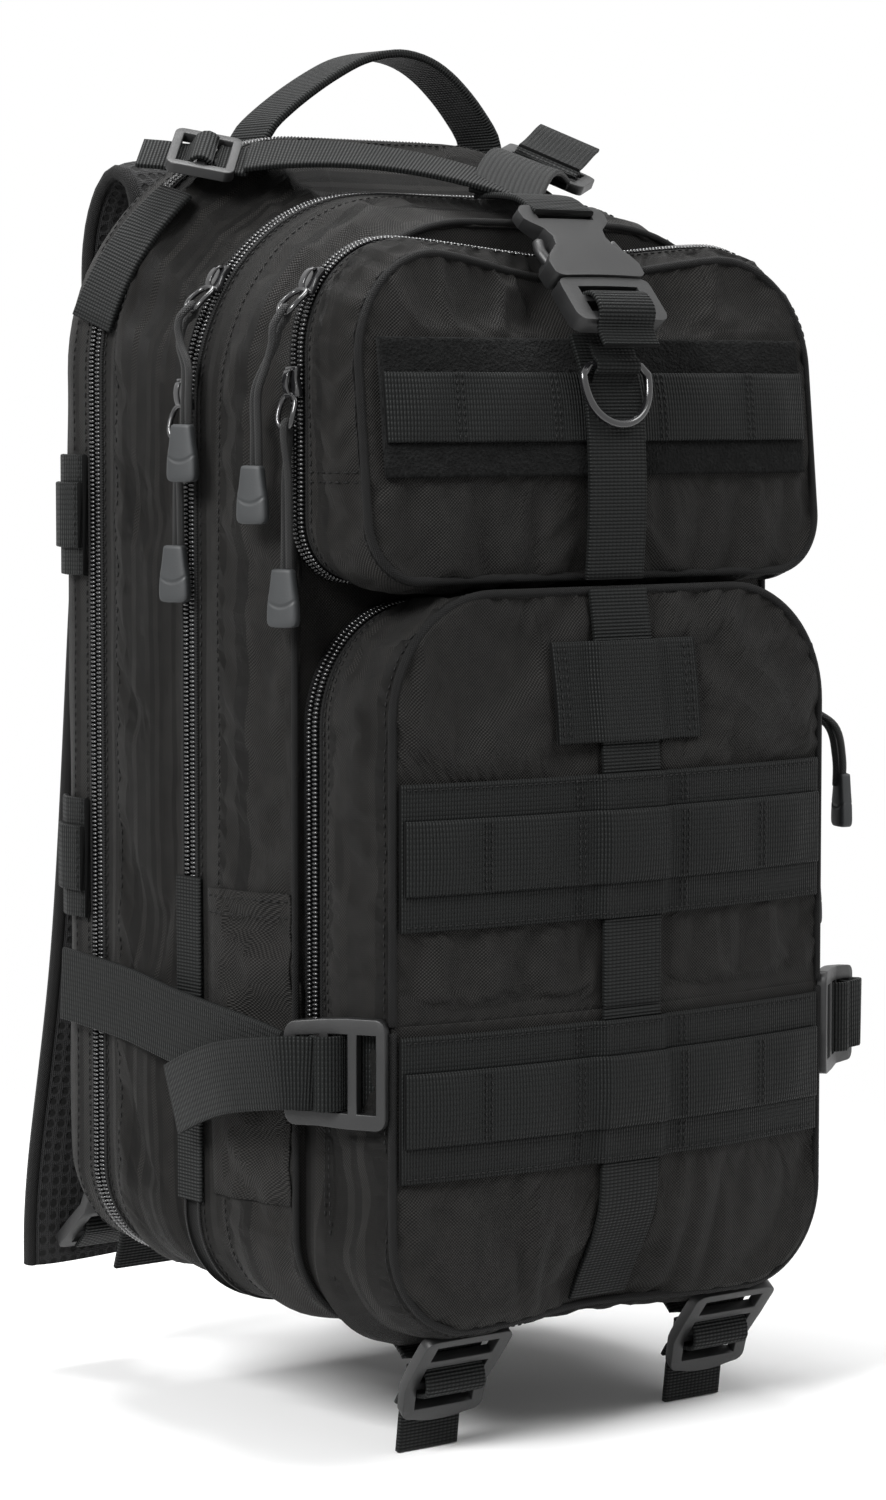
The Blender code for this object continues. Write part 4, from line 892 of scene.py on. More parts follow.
mid_side = cloth_band(
    [(MID, Y_MID - 0.0002), (mid_belly, -0.1285), (mid_edge, -0.150), (MID_FACE, Y_FACE)],
    8,
    [(0.0026, 0.13, 0.018, 6), (0.0012, 0.05, 0.010, 7), (0.0004, 0.018, 0.012, 8)],
    0.8,
    0.04,
)
cloth("mid_gusset", shell(mid_side[0]), "mid_front", ["mid_shell"])
stitches("mid_stitches", [seam_line(mid_side, at) for at in (0.035, 0.20, 0.94)], "mid_front")


SHARES = [1.0, 0.99, 0.975] + [0.95 - 0.035 * step for step in range(27)]


def seam_panel(outline, face, move=None, slack=0.0, held=None):
    """A front panel within its seam, drawn smaller ring by ring."""
    rings = [outline.shrunk(share, face) for share in SHARES]
    if move:
        rings = [move(ring) for ring in rings]
    if slack:
        forward = [[AHEAD] * len(ring) for ring in rings]
        rings = settled(rings, forward, slack, held=held, most_out=0.0035, most_in=0.0035)
    return front_panel(rings)


cloth("mid_front_panel", seam_panel(MID_FACE, lambda x, z: Y_FACE + 0.0002), "mid_front")


def divider_face(x, z):
    return Y_VALLEY + 0.003 * swell(valley.inside(x, z) / 0.06) * ripple(x / 0.07, 0, z / 0.07, 8)


cloth("divider", seam_panel(valley.grown(-0.001), divider_face), "main_front", wall=0.0015, finish=LINING)

# Pockets


def upper_folds(x, z):
    """Folds of the upper pocket's front that run down and outward from the buckle."""
    free = ease(UPPER_SEAM.inside(x, z) / 0.012)
    reach = math.hypot(x, z - 0.395)
    turn = math.atan2(x, 0.400 - z)
    folds = math.cos(turn * 7 + 0.9) * math.exp(-((reach / 0.060) ** 2)) * ease(reach / 0.03)
    uneven = ripple(x / 0.045, 0, z / 0.045, 11) + 0.4 * ripple(x / 0.018, 0, z / 0.018, 12)
    return free * (0.0020 * folds + 0.0013 * uneven)


def upper_front(x, z):
    calm = 1 - ease((0.022 - abs(z - BAND_HEIGHT)) / 0.010 + 0.5) * 0.8
    return upper_face(x, z) - upper_folds(x, z) * calm


def lower_folds(x, z):
    """Unevenness of the lower pocket's front, with puckers at the middle and corners of its foot."""
    free = ease(LOWER_SEAM.inside(x, z) / 0.012)
    uneven = ripple(x / 0.05, 0, z / 0.05, 21) + 0.4 * ripple(x / 0.02, 0, z / 0.02, 22)
    low = ease((0.055 - z) / 0.04)
    pucker = math.cos(x / 0.0065 * math.pi) * math.exp(-((x / 0.045) ** 2)) * low
    return free * (0.0014 * uneven + 0.0014 * pucker)


def lower_front(x, z):
    under_row = 0.0
    for height in ROW_HEIGHTS:
        under_row = max(under_row, ease((0.034 - abs(z - height)) / 0.014))
    return lower_face(x, z) - lower_folds(x, z) * (1 - 0.75 * under_row)


def pocket_side(outer, seam, bulge, rim, front, folds, gathered=0.0, hem=2, stand=0.0, press=False):
    """The folded side of a pocket from its zip to its front seam: its rings and outlines."""
    rings, outlines = [], []
    for share in spaced(0, 1, 12):
        outline = outer.towards(seam, share).grown(bulge * math.sin(math.pi * share))

        def depth_at(x, z, share=share):
            return rim - stand + (front(x, z) - rim) * share

        ring = outline.ring(depth_at)
        rings.append(pressed(ring, 0.6 + 0.4 * share) if press else ring)
        outlines.append(outline)
    rings = worked(rings, outlines, folds, gathered)
    return settled(rings, outward_of(outlines), 0.05, hem, 0.002), outlines


UPPER_FOLDS = [(0.0030, 0.07, 0.014, 31), (0.0012, 0.03, 0.012, 32), (0.0005, 0.014, 0.012, 33)]
upper_side = pocket_side(
    UPPER, UPPER_SEAM, 0.0025, Y_POCKET, upper_front, UPPER_FOLDS, hem=1, stand=0.0002, press=True
)
upper_lines = [seam_line(upper_side, at) for at in (0.06, 0.93)]
for side, _ in HANDS:
    upper_lines += [side_line(upper_side, side, height) for height in (0.3035, 0.3070)]
stitches("upper_stitches", upper_lines, "upper_pocket")
cloth("upper_gusset", shell(upper_side[0]), "upper_pocket", ["upper_pocket"], 0.0018)


def upper_sewn(point):
    """Whether the upper pocket's front is sewn to a band, a strap or the buckle there."""
    under_band = abs(point.z - BAND_HEIGHT) < 0.027 and abs(point.x) < 0.102
    return under_band or abs(point.x) < 0.015 or math.hypot(point.x / 2, (point.z - 0.385) / 2.4) < 0.012


upper_panel = seam_panel(UPPER_SEAM, upper_front, lambda ring: pressed(ring, 1.0), 0.04, upper_sewn)
cloth("upper_front_panel", upper_panel, "upper_pocket", wall=0.0018)


def cut_level(bm, height, above):
    """Cuts a form level and keeps one side of it."""
    whole = bm.verts[:] + bm.edges[:] + bm.faces[:]
    level = {"plane_co": (0, 0, height), "plane_no": UP, "clear_inner": above, "clear_outer": not above}
    bmesh.ops.bisect_plane(bm, geom=whole, dist=1e-6, **level)
    return bm


def lower_sewn(point):
    """Whether the lower pocket's front is sewn to a row, the strap or its keeper there, or is cut to open."""
    under_row = min(abs(point.z - height) for height in ROW_HEIGHTS) < 0.028
    under_keeper = abs(point.x) < 0.036 and abs(point.z - KEEPER_HEIGHT) < 0.020
    return under_row or under_keeper or abs(point.x) < 0.015 or abs(point.z - FLAP_LINE) < 0.006


FLAP_PARTS = (("base", "mid_front", Y_FACE, False), ("flap", "lower_flap", Y_POCKET, True))
LOWER_FOLDS = [(0.0026, 0.09, 0.014, 41), (0.0012, 0.035, 0.011, 42), (0.0004, 0.015, 0.012, 43)]
for label, body, rim, above in FLAP_PARTS:
    flap_side = pocket_side(LOWER, LOWER_SEAM, 0.0035, rim - 0.0003, lower_front, LOWER_FOLDS, 0.6)
    gusset = cut_level(shell(flap_side[0]), FLAP_LINE, above)
    cloth(f"lower_{label}_gusset", gusset, body, [f"pocket_{label}"], 0.0018)
lower_panel = seam_panel(LOWER_SEAM, lower_front, slack=0.04, held=lower_sewn)
for label, body, _, above in FLAP_PARTS:
    cloth(f"lower_{label}_panel", cut_level(lower_panel.copy(), FLAP_LINE, above), body, wall=0.0018)

lower_lines = [seam_line(flap_side, at) for at in (0.05, 0.14, 0.93)]
for label, body, _, above in FLAP_PARTS[::-1]:
    lines = []
    for line in lower_lines:
        kept = [step for step in line if (step[0].z > FLAP_LINE) == above]
        gap = max(range(len(kept) - 1), key=lambda number: (kept[number + 1][0] - kept[number][0]).length)
        lines += [kept[: gap + 1], kept[gap + 1 :]] if not above else [kept]
    stitches(f"lower_{label}_stitches", lines, body)

# Zips


def zip_chain(name, outline, rear, front, body, nodes, press=0.0, above=None, ends=None):
    """A woven tape round an outline and the two rows of coil along its middle, which may end above a height."""
    ends = above if ends is None else ends
    middle = (rear + front) / 2
    half_profile = [(0.0, (rear - front) / 2), (0.0001, 0.0042), (-0.0007, 0.0036)]
    profile = half_profile + [(by, -aside) for by, aside in half_profile[::-1]]
    rings =[pressed(outline.grown(by).ring(middle + aside), press) for by, aside in profile]
    tape = shell(rings)
    if above is not None:
        cut_level(tape, above, True)
    make(name + "_tape", tape, TAPE, body, nodes, wall=0.001)
    places = []
    for aside, start in ((0.00195, 0.0), (-0.00195, ZIP_PITCH / 2)):
        path = outline_path(outline.grown(0.0006), middle + aside, press)
        for point, along, outward in evenly(path, ZIP_PITCH, start):
            if ends is None or point.z > ends:
                places.append(set_at(point, along, outward))
    make(name + "_coil", spread(bead(0.00130, 0.0041, 0.0024), places), COIL, body)


ZIP_PITCH = 0.0016
SLEEVE_TOP = 0.154
zip_chain("main_zip", MAIN, Y_MAIN_ZIP, Y_MAIN, "main_front", ["main_zip"])
zip_chain("mid_zip", MID, Y_MID_ZIP, Y_MID, "mid_front", ["mid_zip"], ends=SLEEVE_TOP)
zip_chain("upper_zip", UPPER, Y_FACE, Y_POCKET, "upper_pocket", ["upper_zip"], press=0.6)
zip_chain("lower_zip", LOWER, Y_FACE, Y_POCKET, "mid_front", ["lower_zip"], above=FLAP_LINE)

# Piping along the seams


def piping(name, path, body, radius=0.0016, closed=True):
    if closed:
        path = path[:-1]
    return make(name, sweep(path, round_section(radius, 8), closed), TAPE, body)


piping("upper_piping", outline_path(UPPER_SEAM, upper_front, press=1.0), "upper_pocket")
piping("mid_piping", outline_path(MID_FACE, Y_FACE), "mid_front", 0.0014)
piping("back_piping", outline_path(MAIN.grown(-0.0092), Y_BACK - 0.0010), "back", 0.0014)
lower_path = outline_path(LOWER_SEAM, lower_front)
rising = [number for number, (point, _) in enumerate(lower_path) if point.z > FLAP_LINE]
first, last = rising[0], rising[-1]
piping("flap_piping", lower_path[first : last + 1], "lower_flap", closed=False)
foot_path = lower_path[last + 1 : -1] + lower_path[:first]
piping("base_piping", foot_path, "mid_front", closed=False)

# Cloth that joins two compartments below the zip, along the foot that stays sewn


def hinge_cloth(name, outline, rear, front, rear_height, front_height):
    low = outline.low - 0.0022
    path = run(
        DOWN,
        (0, rear + 0.0040, rear_height), (0, rear + 0.0015, (rear_height + low) / 2), (0, rear, low),
        (0, front, low), (0, front - 0.0030, (front_height + low) / 2), (0, front - 0.0060, front_height),
    )
    wide = 2 * (outline.half - outline.foot) - 0.004
    made = strap(name, path, None, width=wide, thick=0.0008, finish=CLOTH, step=0.0008)
    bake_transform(made)


hinge_cloth("main_hinge_cloth", MAIN, Y_MAIN_ZIP, Y_MAIN, 0.0036, 0.0021)
hinge_cloth("mid_hinge_cloth", MID, Y_MID_ZIP, Y_MID, -0.0022, -0.0061)

# Bands across the pockets


def laid_band(name, half, middle, tall, face, lift, thick, finish, body, nodes=(), puff=None, steps=64):
    """A band laid across a curved front; its lift and puff may change along it."""
    rings = []
    edge = 0.0006
    low, high = middle - tall / 2, middle + tall / 2
    heights = [low, low + edge, low + 2.5 * edge]
    heights += [low + (high - low) * part / 6 for part in range(1, 6)]
    heights += [high - 2.5 * edge, high - edge, high]
    for x in spaced(-half, half, steps):
        stand = lift(x) if callable(lift) else lift
        front, rear = [], []
        for z in heights:
            swelling = puff(x) * math.sin(math.pi * (z - low) / (high - low)) ** 0.5 if puff else 0.0
            half_thick = thick / 2 * (0.45 if z in (low, high) else 1.0)
            depth = face(x, z) - stand - thick / 2
            front.append(Vector((x, depth - half_thick - swelling, z)))
            rear.append(Vector((x, depth + half_thick - swelling * 0.9, z)))
        rings.append(front + rear[::-1])
    return make(name, solid(rings), finish, body, nodes)


ROW_COLUMNS = (-0.1005, -0.066, -0.025, 0.025, 0.066, 0.1005)
BAND_COLUMNS = (-0.100, -0.0695, -0.0255, 0.0255, 0.0695, 0.100)


def sewn_between(columns, amount, middle=True):
    """Slack of a band between the columns where it is sewn down, and none where a strap holds its middle."""

    def slack(x):
        for first, last in zip(columns, columns[1:]):
            if first <= x <= last and (middle or first != -last):
                return amount * math.sin(math.pi * (x - first) / (last - first)) ** 2
        return 0.0

    return slack


def over_strap(height):
    """The lift of a band that lies on the front and passes over the middle strap."""
    return lambda x: height + 0.0022 * ease((0.0185 - abs(x)) / 0.0055)


def on_front(x, z, face, lift):
    return Vector((x, face(x, z) - lift, z)), AHEAD


def column_stitches(columns, middle, tall, face, lift):
    """Double rows of thread up a band, at each column."""
    paths = []
    for x in columns:
        for aside in (-0.0012, 0.0012):
            heights = spaced(middle - tall / 2, middle + tall / 2, 8)
            paths.append([on_front(x + aside, z, face, lift) for z in heights])
    return paths


ROW_LAY = 0.00066
ROW_THICK = 0.0014
BAND_LAY = 0.00044
for label, height, body in zip(("upper", "lower"), ROW_HEIGHTS, ("lower_flap", "mid_front")):
    laid_band(
        f"row_{label}_base", 0.1005, height, 0.053, lower_front, over_strap(ROW_LAY), ROW_THICK, WIDE_WEBBING,
        body, [f"row_{label}"], steps=120,
    )
    lift = over_strap(ROW_LAY + 0.0015)
    laid_band(
        f"row_{label}_band", 0.0995, height, 0.027, lower_front, lift, ROW_THICK, WEBBING,
        body, puff=sewn_between(ROW_COLUMNS, 0.0015), steps=120,
    )
    threads = column_stitches(ROW_COLUMNS[1:-1], height, 0.026, lower_front, ROW_LAY + 0.0030)
    for edge in (height - 0.0200, height + 0.0200):
        threads += column_stitches((-0.025, 0.025), edge, 0.011, lower_front, ROW_LAY + 0.0015)
    for z in (height - 0.0245, height + 0.0245):
        threads.append([on_front(x, z, lower_front, lift(x)) for x in spaced(-0.099, 0.099, 120)])
    stitches(f"row_{label}_stitches", threads, body, 0.0028)

laid_band(
    "loop_pile", 0.100, BAND_HEIGHT, 0.050, upper_front, BAND_LAY, 0.0020, PILE, "upper_pocket",
    ["loop_panel"], steps=110,
)
laid_band(
    "upper_band", 0.100, BAND_HEIGHT, 0.025, upper_front, BAND_LAY + 0.0021, ROW_THICK, WEBBING, "upper_pocket",
    ["upper_band"], puff=sewn_between(BAND_COLUMNS, 0.0014, False),
)
threads = column_stitches(BAND_COLUMNS[1:-1], BAND_HEIGHT, 0.024, upper_front, BAND_LAY + 0.0036)
stitches("upper_band_stitches", threads, "upper_pocket", 0.0028)

# Straps down the middle of the front

UPPER_LIFT = 0.0049
LOWER_LIFT = 0.0007
for name, face, lift, body, heights in (
    ("front_strap", upper_face, UPPER_LIFT, "front_strap", spaced(0.3560, 0.2672, 8)),
    ("flap_strap", lower_front, LOWER_LIFT, "lower_flap", spaced(0.2635, FLAP_LINE + 0.0002, 16)),
    ("base_strap", lower_front, LOWER_LIFT, "mid_front", spaced(FLAP_LINE - 0.0002, 0.0, 16)),
):
    strap(name, [on_front(0.0, z, face, lift) for z in heights], body, [name], width=0.027)

keeper_lift = over_strap(0.0010)
laid_band(
    "strap_keeper", 0.034, KEEPER_HEIGHT, 0.037, lower_front, keeper_lift, 0.0016, WIDE_WEBBING,
    "lower_flap", steps=48,
)
threads = []
for x in (-0.0315, -0.0285, 0.0285, 0.0315):
    lift = keeper_lift(x) + 0.0016
    threads.append([on_front(x, z, lower_front, lift) for z in spaced(0.210, 0.243, 8)])
stitches("keeper_stitches", threads, "lower_flap")

# D-ring on the front strap

RING_Z = 0.345
RING_WIRE = 0.0016
RING_LONG = 0.025
ring_depth = upper_face(0, RING_Z)
ring_seat = Vector((0, ring_depth - UPPER_LIFT - WEB_THICK - RING_WIRE - 0.0018, RING_Z))
ring_down = Vector((0, upper_face(0, RING_Z - RING_LONG) - ring_depth, -RING_LONG)).normalized()
ring_half = 0.017 - RING_WIRE
ring_path = [Vector((x, 0, 0)) for x in spaced(-ring_half + 2 * RING_WIRE, ring_half - 2 * RING_WIRE, 12)]
for turn in spaced(0, math.pi, 48):
    drop = 2 * RING_WIRE + (RING_LONG - 4 * RING_WIRE) * math.sin(turn) ** 0.8
    ring_path.append(Vector((ring_half * math.cos(turn), 0, 0)) + ring_down * drop)
ring_path = [(ring_seat + point, AHEAD) for point in ring_path]
ring_form = sweep(ring_path, round_section(RING_WIRE, 12), closed=True)
make("d_ring", ring_form, METAL, "d_ring", ["d_ring"])
holder = []
for turn in range(0, 181, 15):
    out = Vector((0, -math.sin(math.radians(turn)), math.cos(math.radians(turn))))
    holder.append((ring_seat + out * 0.0022, out))
holder.insert(0, (holder[0][0] + Vector((0, 0.0030, 0.006)), Vector((0, -1, 0.3))))
holder.append((holder[-1][0] + Vector((0, 0.0030, -0.006)), Vector((0, -1, -0.3))))
strap("ring_loop", holder, "front_strap", width=0.0205, thick=0.0012, step=0.0015)

# Moulded fittings


def lattice(columns, rows, gaps):
    """A flat frame of bars: a grid with some of its cells taken out."""
    bm = bmesh.new()
    bmesh.ops.create_grid(bm, x_segments=len(columns) - 1, y_segments=len(rows) - 1, size=1)
    xs, ys = (sorted({round(vert.co[axis], 5) for vert in bm.verts}) for axis in (0, 1))
    open_cells = []
    for face in bm.faces:
        middle = face.calc_center_median()
        if (sum(x < middle.x for x in xs) - 1, sum(y < middle.y for y in ys) - 1) in gaps:
            open_cells.append(face)
    for vert in bm.verts:
        vert.co = (columns[xs.index(round(vert.co.x, 5))], rows[ys.index(round(vert.co.y, 5))], 0)
    bmesh.ops.delete(bm, geom=open_cells, context="FACES")
    return bm


def cells(columns, rows):
    return {(column, row) for column in columns for row in rows}


def corners_rounded(bm, radius, segments=4):
    """Rounds the outer corners of a flat frame."""
    corners = [vert for vert in bm.verts if len(vert.link_faces) == 1]
    bmesh.ops.bevel(bm, geom=corners, offset=radius, affect="VERTICES", segments=segments, profile=0.5, material=-1)
    return bm


def thickened(bm, low, high):
    """Gives a flat frame its thickness."""
    for vert in bm.verts:
        vert.co.z = low
    grown = bmesh.ops.extrude_face_region(bm, geom=bm.faces[:], use_keep_orig=True)["geom"]
    raised = [item for item in grown if isinstance(item, bmesh.types.BMVert)]
    bmesh.ops.translate(bm, verts=raised, vec=(0, 0, high - low))
    bmesh.ops.recalc_face_normals(bm, faces=bm.faces[:])
    return bm


def placed(bm, place):
    bmesh.ops.transform(bm, matrix=place, verts=bm.verts)
    return bm


LOCK = 0.037
LOCK_THICK = 0.0045
LOCK_COLUMNS = (-0.0185, -0.0149, -0.0074, -0.0038, 0.0037, 0.0073, 0.0148, 0.0185)
LOCK_ROWS = (-0.020, -0.0143, -0.009, -0.0035, 0.0035, 0.009, 0.0143, 0.020)


def ladder_lock():
    """A ladder lock: three slots between its bars and a thumb lip turned up at its far end."""
    bm = lattice(LOCK_COLUMNS, LOCK_ROWS, cells((1, 3, 5), range(1, 6)))
    for vert in bm.verts:
        if vert.co.x > 0.018:
            vert.co.x += 0.0030 * max(1 - (vert.co.y / 0.016) ** 2, 0)
        vert.co.y *= 1 - 0.06 * ease((vert.co.x + 0.004) / 0.02)
    corners_rounded(bm, 0.0045)
    thickened(bm, 0, LOCK_THICK)
    for vert in bm.verts:
        vert.co.z += LOCK_THICK * ease((vert.co.x - LOCK / 6) / (LOCK / 3))
    return bm


def lock(name, place, body):
    return make(name, placed(ladder_lock(), place), PLASTIC, body, [name], edge=0.0011)


def threaded(name, place, body):
    """Webbing wound over a lock's two middle bars."""
    turns = (
        (0.0215, -0.0026), (0.0145, -0.0024), (0.0105, 0.0030), (0.0055, 0.0082), (0.0010, 0.0052),
        (-0.0010, 0.0000), (-0.0050, -0.0026), (-0.0150, -0.0026),
    )
    path = []
    for index, (along, up) in enumerate(turns):
        before = turns[max(index - 1, 0)]
        after = turns[min(index + 1, len(turns) - 1)]
        normal = Vector((after[1] - before[1], 0, before[0] - after[0]))
        path.append((place @ Vector((along, 0, up)), place.to_3x3() @ normal))
    return strap(name, path, body, width=0.0272, thick=0.0016, step=0.0015)


# Side-release buckle over the top edge of the upper pocket

TILT = math.radians(42)
buckle_up = Vector((0, math.sin(TILT), math.cos(TILT)))
buckle_out = Vector((0, -math.cos(TILT), math.sin(TILT)))
buckle_mouth = Vector((0, -0.190, 0.375))
buckle_place = set_at(buckle_mouth, buckle_up, buckle_out)
BUCKLE_HALF = 0.0215
BUCKLE_THICK = 0.010


def shaped_plate(columns, halves, rows, gaps, low, high):
    """A plate whose half width changes along it, thicker in its middle than at its sides."""
    bm = lattice(columns, rows, gaps)
    for vert in bm.verts:
        index = min(range(len(columns)), key=lambda number: abs(columns[number] - vert.co.x))
        vert.co.y *= halves[index]
    corners_rounded(bm, 0.0025, 3)
    thickened(bm, low, high)
    for vert in bm.verts:
        vert.co.z *= 1 - 0.16 * (vert.co.y / BUCKLE_HALF) ** 2
    return bm


SOCKET_ROWS = (-1.0, -0.82, -0.66, -0.33, 0.0, 0.33, 0.66, 0.82, 1.0)
socket_columns = (0.0, 0.002, 0.007, 0.011, 0.0155, 0.0200, 0.0245, 0.0280, 0.0300, 0.0335, 0.037)
socket_halves = (0.0198, 0.0212, 0.0215, 0.0190, 0.0140, 0.0126, 0.0140, 0.0182, 0.0200, 0.0205, 0.0190)
socket_gaps = cells([8], range(2, 6))
socket = shaped_plate(socket_columns, socket_halves, SOCKET_ROWS, socket_gaps, -BUCKLE_THICK / 2, BUCKLE_THICK / 2)
for vert in socket.verts:
    vert.co.z *= 1 - 0.42 * ease((vert.co.x - 0.012) / 0.022)
placed(socket, buckle_place)
make("buckle_socket", socket, PLASTIC, "upper_pocket", ["buckle_female"], edge=0.0013)

plug_columns = (-0.021, -0.0172, -0.0122, -0.0090, -0.0048, -0.0022, -0.0003)
plug_halves = (0.0200, 0.0215, 0.0215, 0.0215, 0.0215, 0.0212, 0.0200)
plug = shaped_plate(plug_columns, plug_halves, SOCKET_ROWS, cells((1, 3), range(2, 6)), -0.0040, 0.0040)
make("buckle_plug", placed(plug, buckle_place), PLASTIC, "front_strap", ["buckle_male"], edge=0.0011)
ARM = ((-0.002, 0.0165), (0.006, 0.0170), (0.011, 0.0180), (0.0155, 0.0186), (0.0200, 0.0172))
for side, hand in HANDS:
    arm = [(buckle_place @ Vector((along, side * across, 0)), buckle_out) for along, across in ARM]
    arm_form = sweep(smoothed(arm, 0.0015), round_section(0.0022, 12))
    make(f"buckle_arm_{hand}", arm_form, PLASTIC, "front_strap")

wrap = laid_on(
    buckle_place, buckle_out, (-0.0300, -0.0015), (-0.0225, 0.0002), (-0.0190, 0.0050), (-0.0150, 0.0060),
    (-0.0105, 0.0050), (-0.0070, -0.001),
)
strap("buckle_wrap", wrap, "front_strap", width=0.0262, thick=0.0018, step=0.0015)

# Yoke over the top of the pack


def main_outline(depth):
    """The outer outline of the main compartment at a depth."""
    stations = (
        (Y_MAIN_ZIP, MAIN.grown(0.0012)),
        (Y_MAIN, MAIN.grown(0.0012)),
        (Y_MAIN - 0.0172, belly),
        (Y_MAIN - 0.03225, shoulder),
        (Y_VALLEY, valley),
    )
    for (first, wide), (second, narrow) in zip(stations, stations[1:]):
        if depth >= second:
            return wide.towards(narrow, min(max((depth - first) / (second - first), 0), 1))
    return valley


def top_arc(side, angle, depth, lift):
    """A point and its normal just outside the rounded top corner, clear of it for a strap's whole width."""
    normal = Vector((side * math.cos(angle), 0, math.sin(angle)))
    spots = []
    for aside in (-WEB / 2, 0, WEB / 2):
        outline = main_outline(depth + aside * 0.9).grown(lift)
        centre = Vector((side * (outline.half - outline.top), depth, outline.high - outline.top))
        spots.append(centre + normal * outline.top)
    return max(spots, key=normal.dot), normal


GLIDE_ANGLE = math.radians(57)
YOKE_UP = Vector((0, -0.25, 1))
yoke_bar = buckle_mouth + buckle_up * 0.038 - buckle_out * 0.001
stem_rear = yoke_bar + Vector((0, 0.018, 0.005))
stem = [
    (yoke_bar - buckle_up * 0.006 + buckle_out * 0.0035, buckle_out),
    (yoke_bar + buckle_out * 0.0010, buckle_out),
    (yoke_bar.lerp(stem_rear, 0.3) + Vector((0, 0, 0.002)), YOKE_UP),
    (stem_rear, YOKE_UP),
    (stem_rear + Vector((0, 0.011, 0.0002)), YOKE_UP),
]
strap("yoke_stem", stem, "upper_pocket", ["yoke_strap"])
GLIDE_COLUMNS = (-0.013, -0.0095, -0.0018, 0.0018, 0.0095, 0.013)
GLIDE_ROWS = (-0.019, -0.0143, -0.005, 0.005, 0.0143, 0.019)
for side, hand in HANDS:
    anchor = []
    for share in spaced(0, 1, 12):
        angle = math.radians(12) + (GLIDE_ANGLE - math.radians(12)) * share
        depth = Y_MAIN_ZIP - 0.004 - (0.057 + Y_MAIN_ZIP - 0.006) * share
        anchor.append(top_arc(side, angle - 0.17 * share, depth, 0.0006))
    strap(f"yoke_anchor_{hand}", anchor, "back", [f"yoke_anchor_{hand}"])

    seat, normal = top_arc(side, GLIDE_ANGLE, -0.057, 0.0045)
    lead = Vector((side * 0.006, Y_POCKET + 0.012, 0.405)) - seat
    lead.y *= 0.6
    glide = lattice(GLIDE_COLUMNS, GLIDE_ROWS, cells((1, 3), (1, 2, 3)))
    corners_rounded(glide, 0.0045)
    thickened(glide, 0, 0.004)
    glide_place = set_at(seat, lead, normal)
    make(
        f"triglide_{hand}", placed(glide, glide_place), PLASTIC, "main_front", [f"triglide_{hand}"],
        edge=0.0011,
    )
    start = seat + lead.normalized() * 0.0190 + normal * 0.0040
    sewn = stem_rear + Vector((-side * 0.008, 0, side * 0.0007 - 0.0006))
    branch = []
    for share in spaced(0, 1, 8):
        spot = start.lerp(sewn, share) + UP * (0.007 * 4 * share * (1 - share))
        branch.append((spot, normal.lerp(YOKE_UP, share)))
    strap(f"yoke_branch_{hand}", branch, "upper_pocket")
    over = laid_on(
        glide_place, normal, (-0.0240, -0.0030), (-0.0155, -0.0020), (-0.0060, -0.0012), (-0.0030, 0.0038),
        (0.0, 0.0052), (0.0030, 0.0038), (0.0060, 0.0002), (0.0180, 0.0016),
    )
    strap(f"triglide_webbing_{hand}", over, "main_front", width=0.0272, thick=0.0018, step=0.0015)
    if side > 0:
        tail = laid_on(
            glide_place, normal, (0.0010, 0.0062), (-0.0060, 0.0068), (-0.0140, 0.0082), (-0.0220, 0.0100),
            (-0.0290, 0.0108),
        )
        strap("triglide_tail", tail, "main_front", width=0.0268, thick=0.0016, step=0.002)

# Shoulder straps, and the straps, loops and sleeves of the sides

PAD_THICK = 0.011


def pillow_section(half_width, half_thick, sides=28):
    """A padded strap cut across: full in the middle and thin at its bound edges."""
    turns = spaced(0, math.tau, sides)[:-1]
    return [(half_width * bowed(math.cos(turn), 0.8), half_thick * bowed(math.sin(turn), 0.75)) for turn in turns]


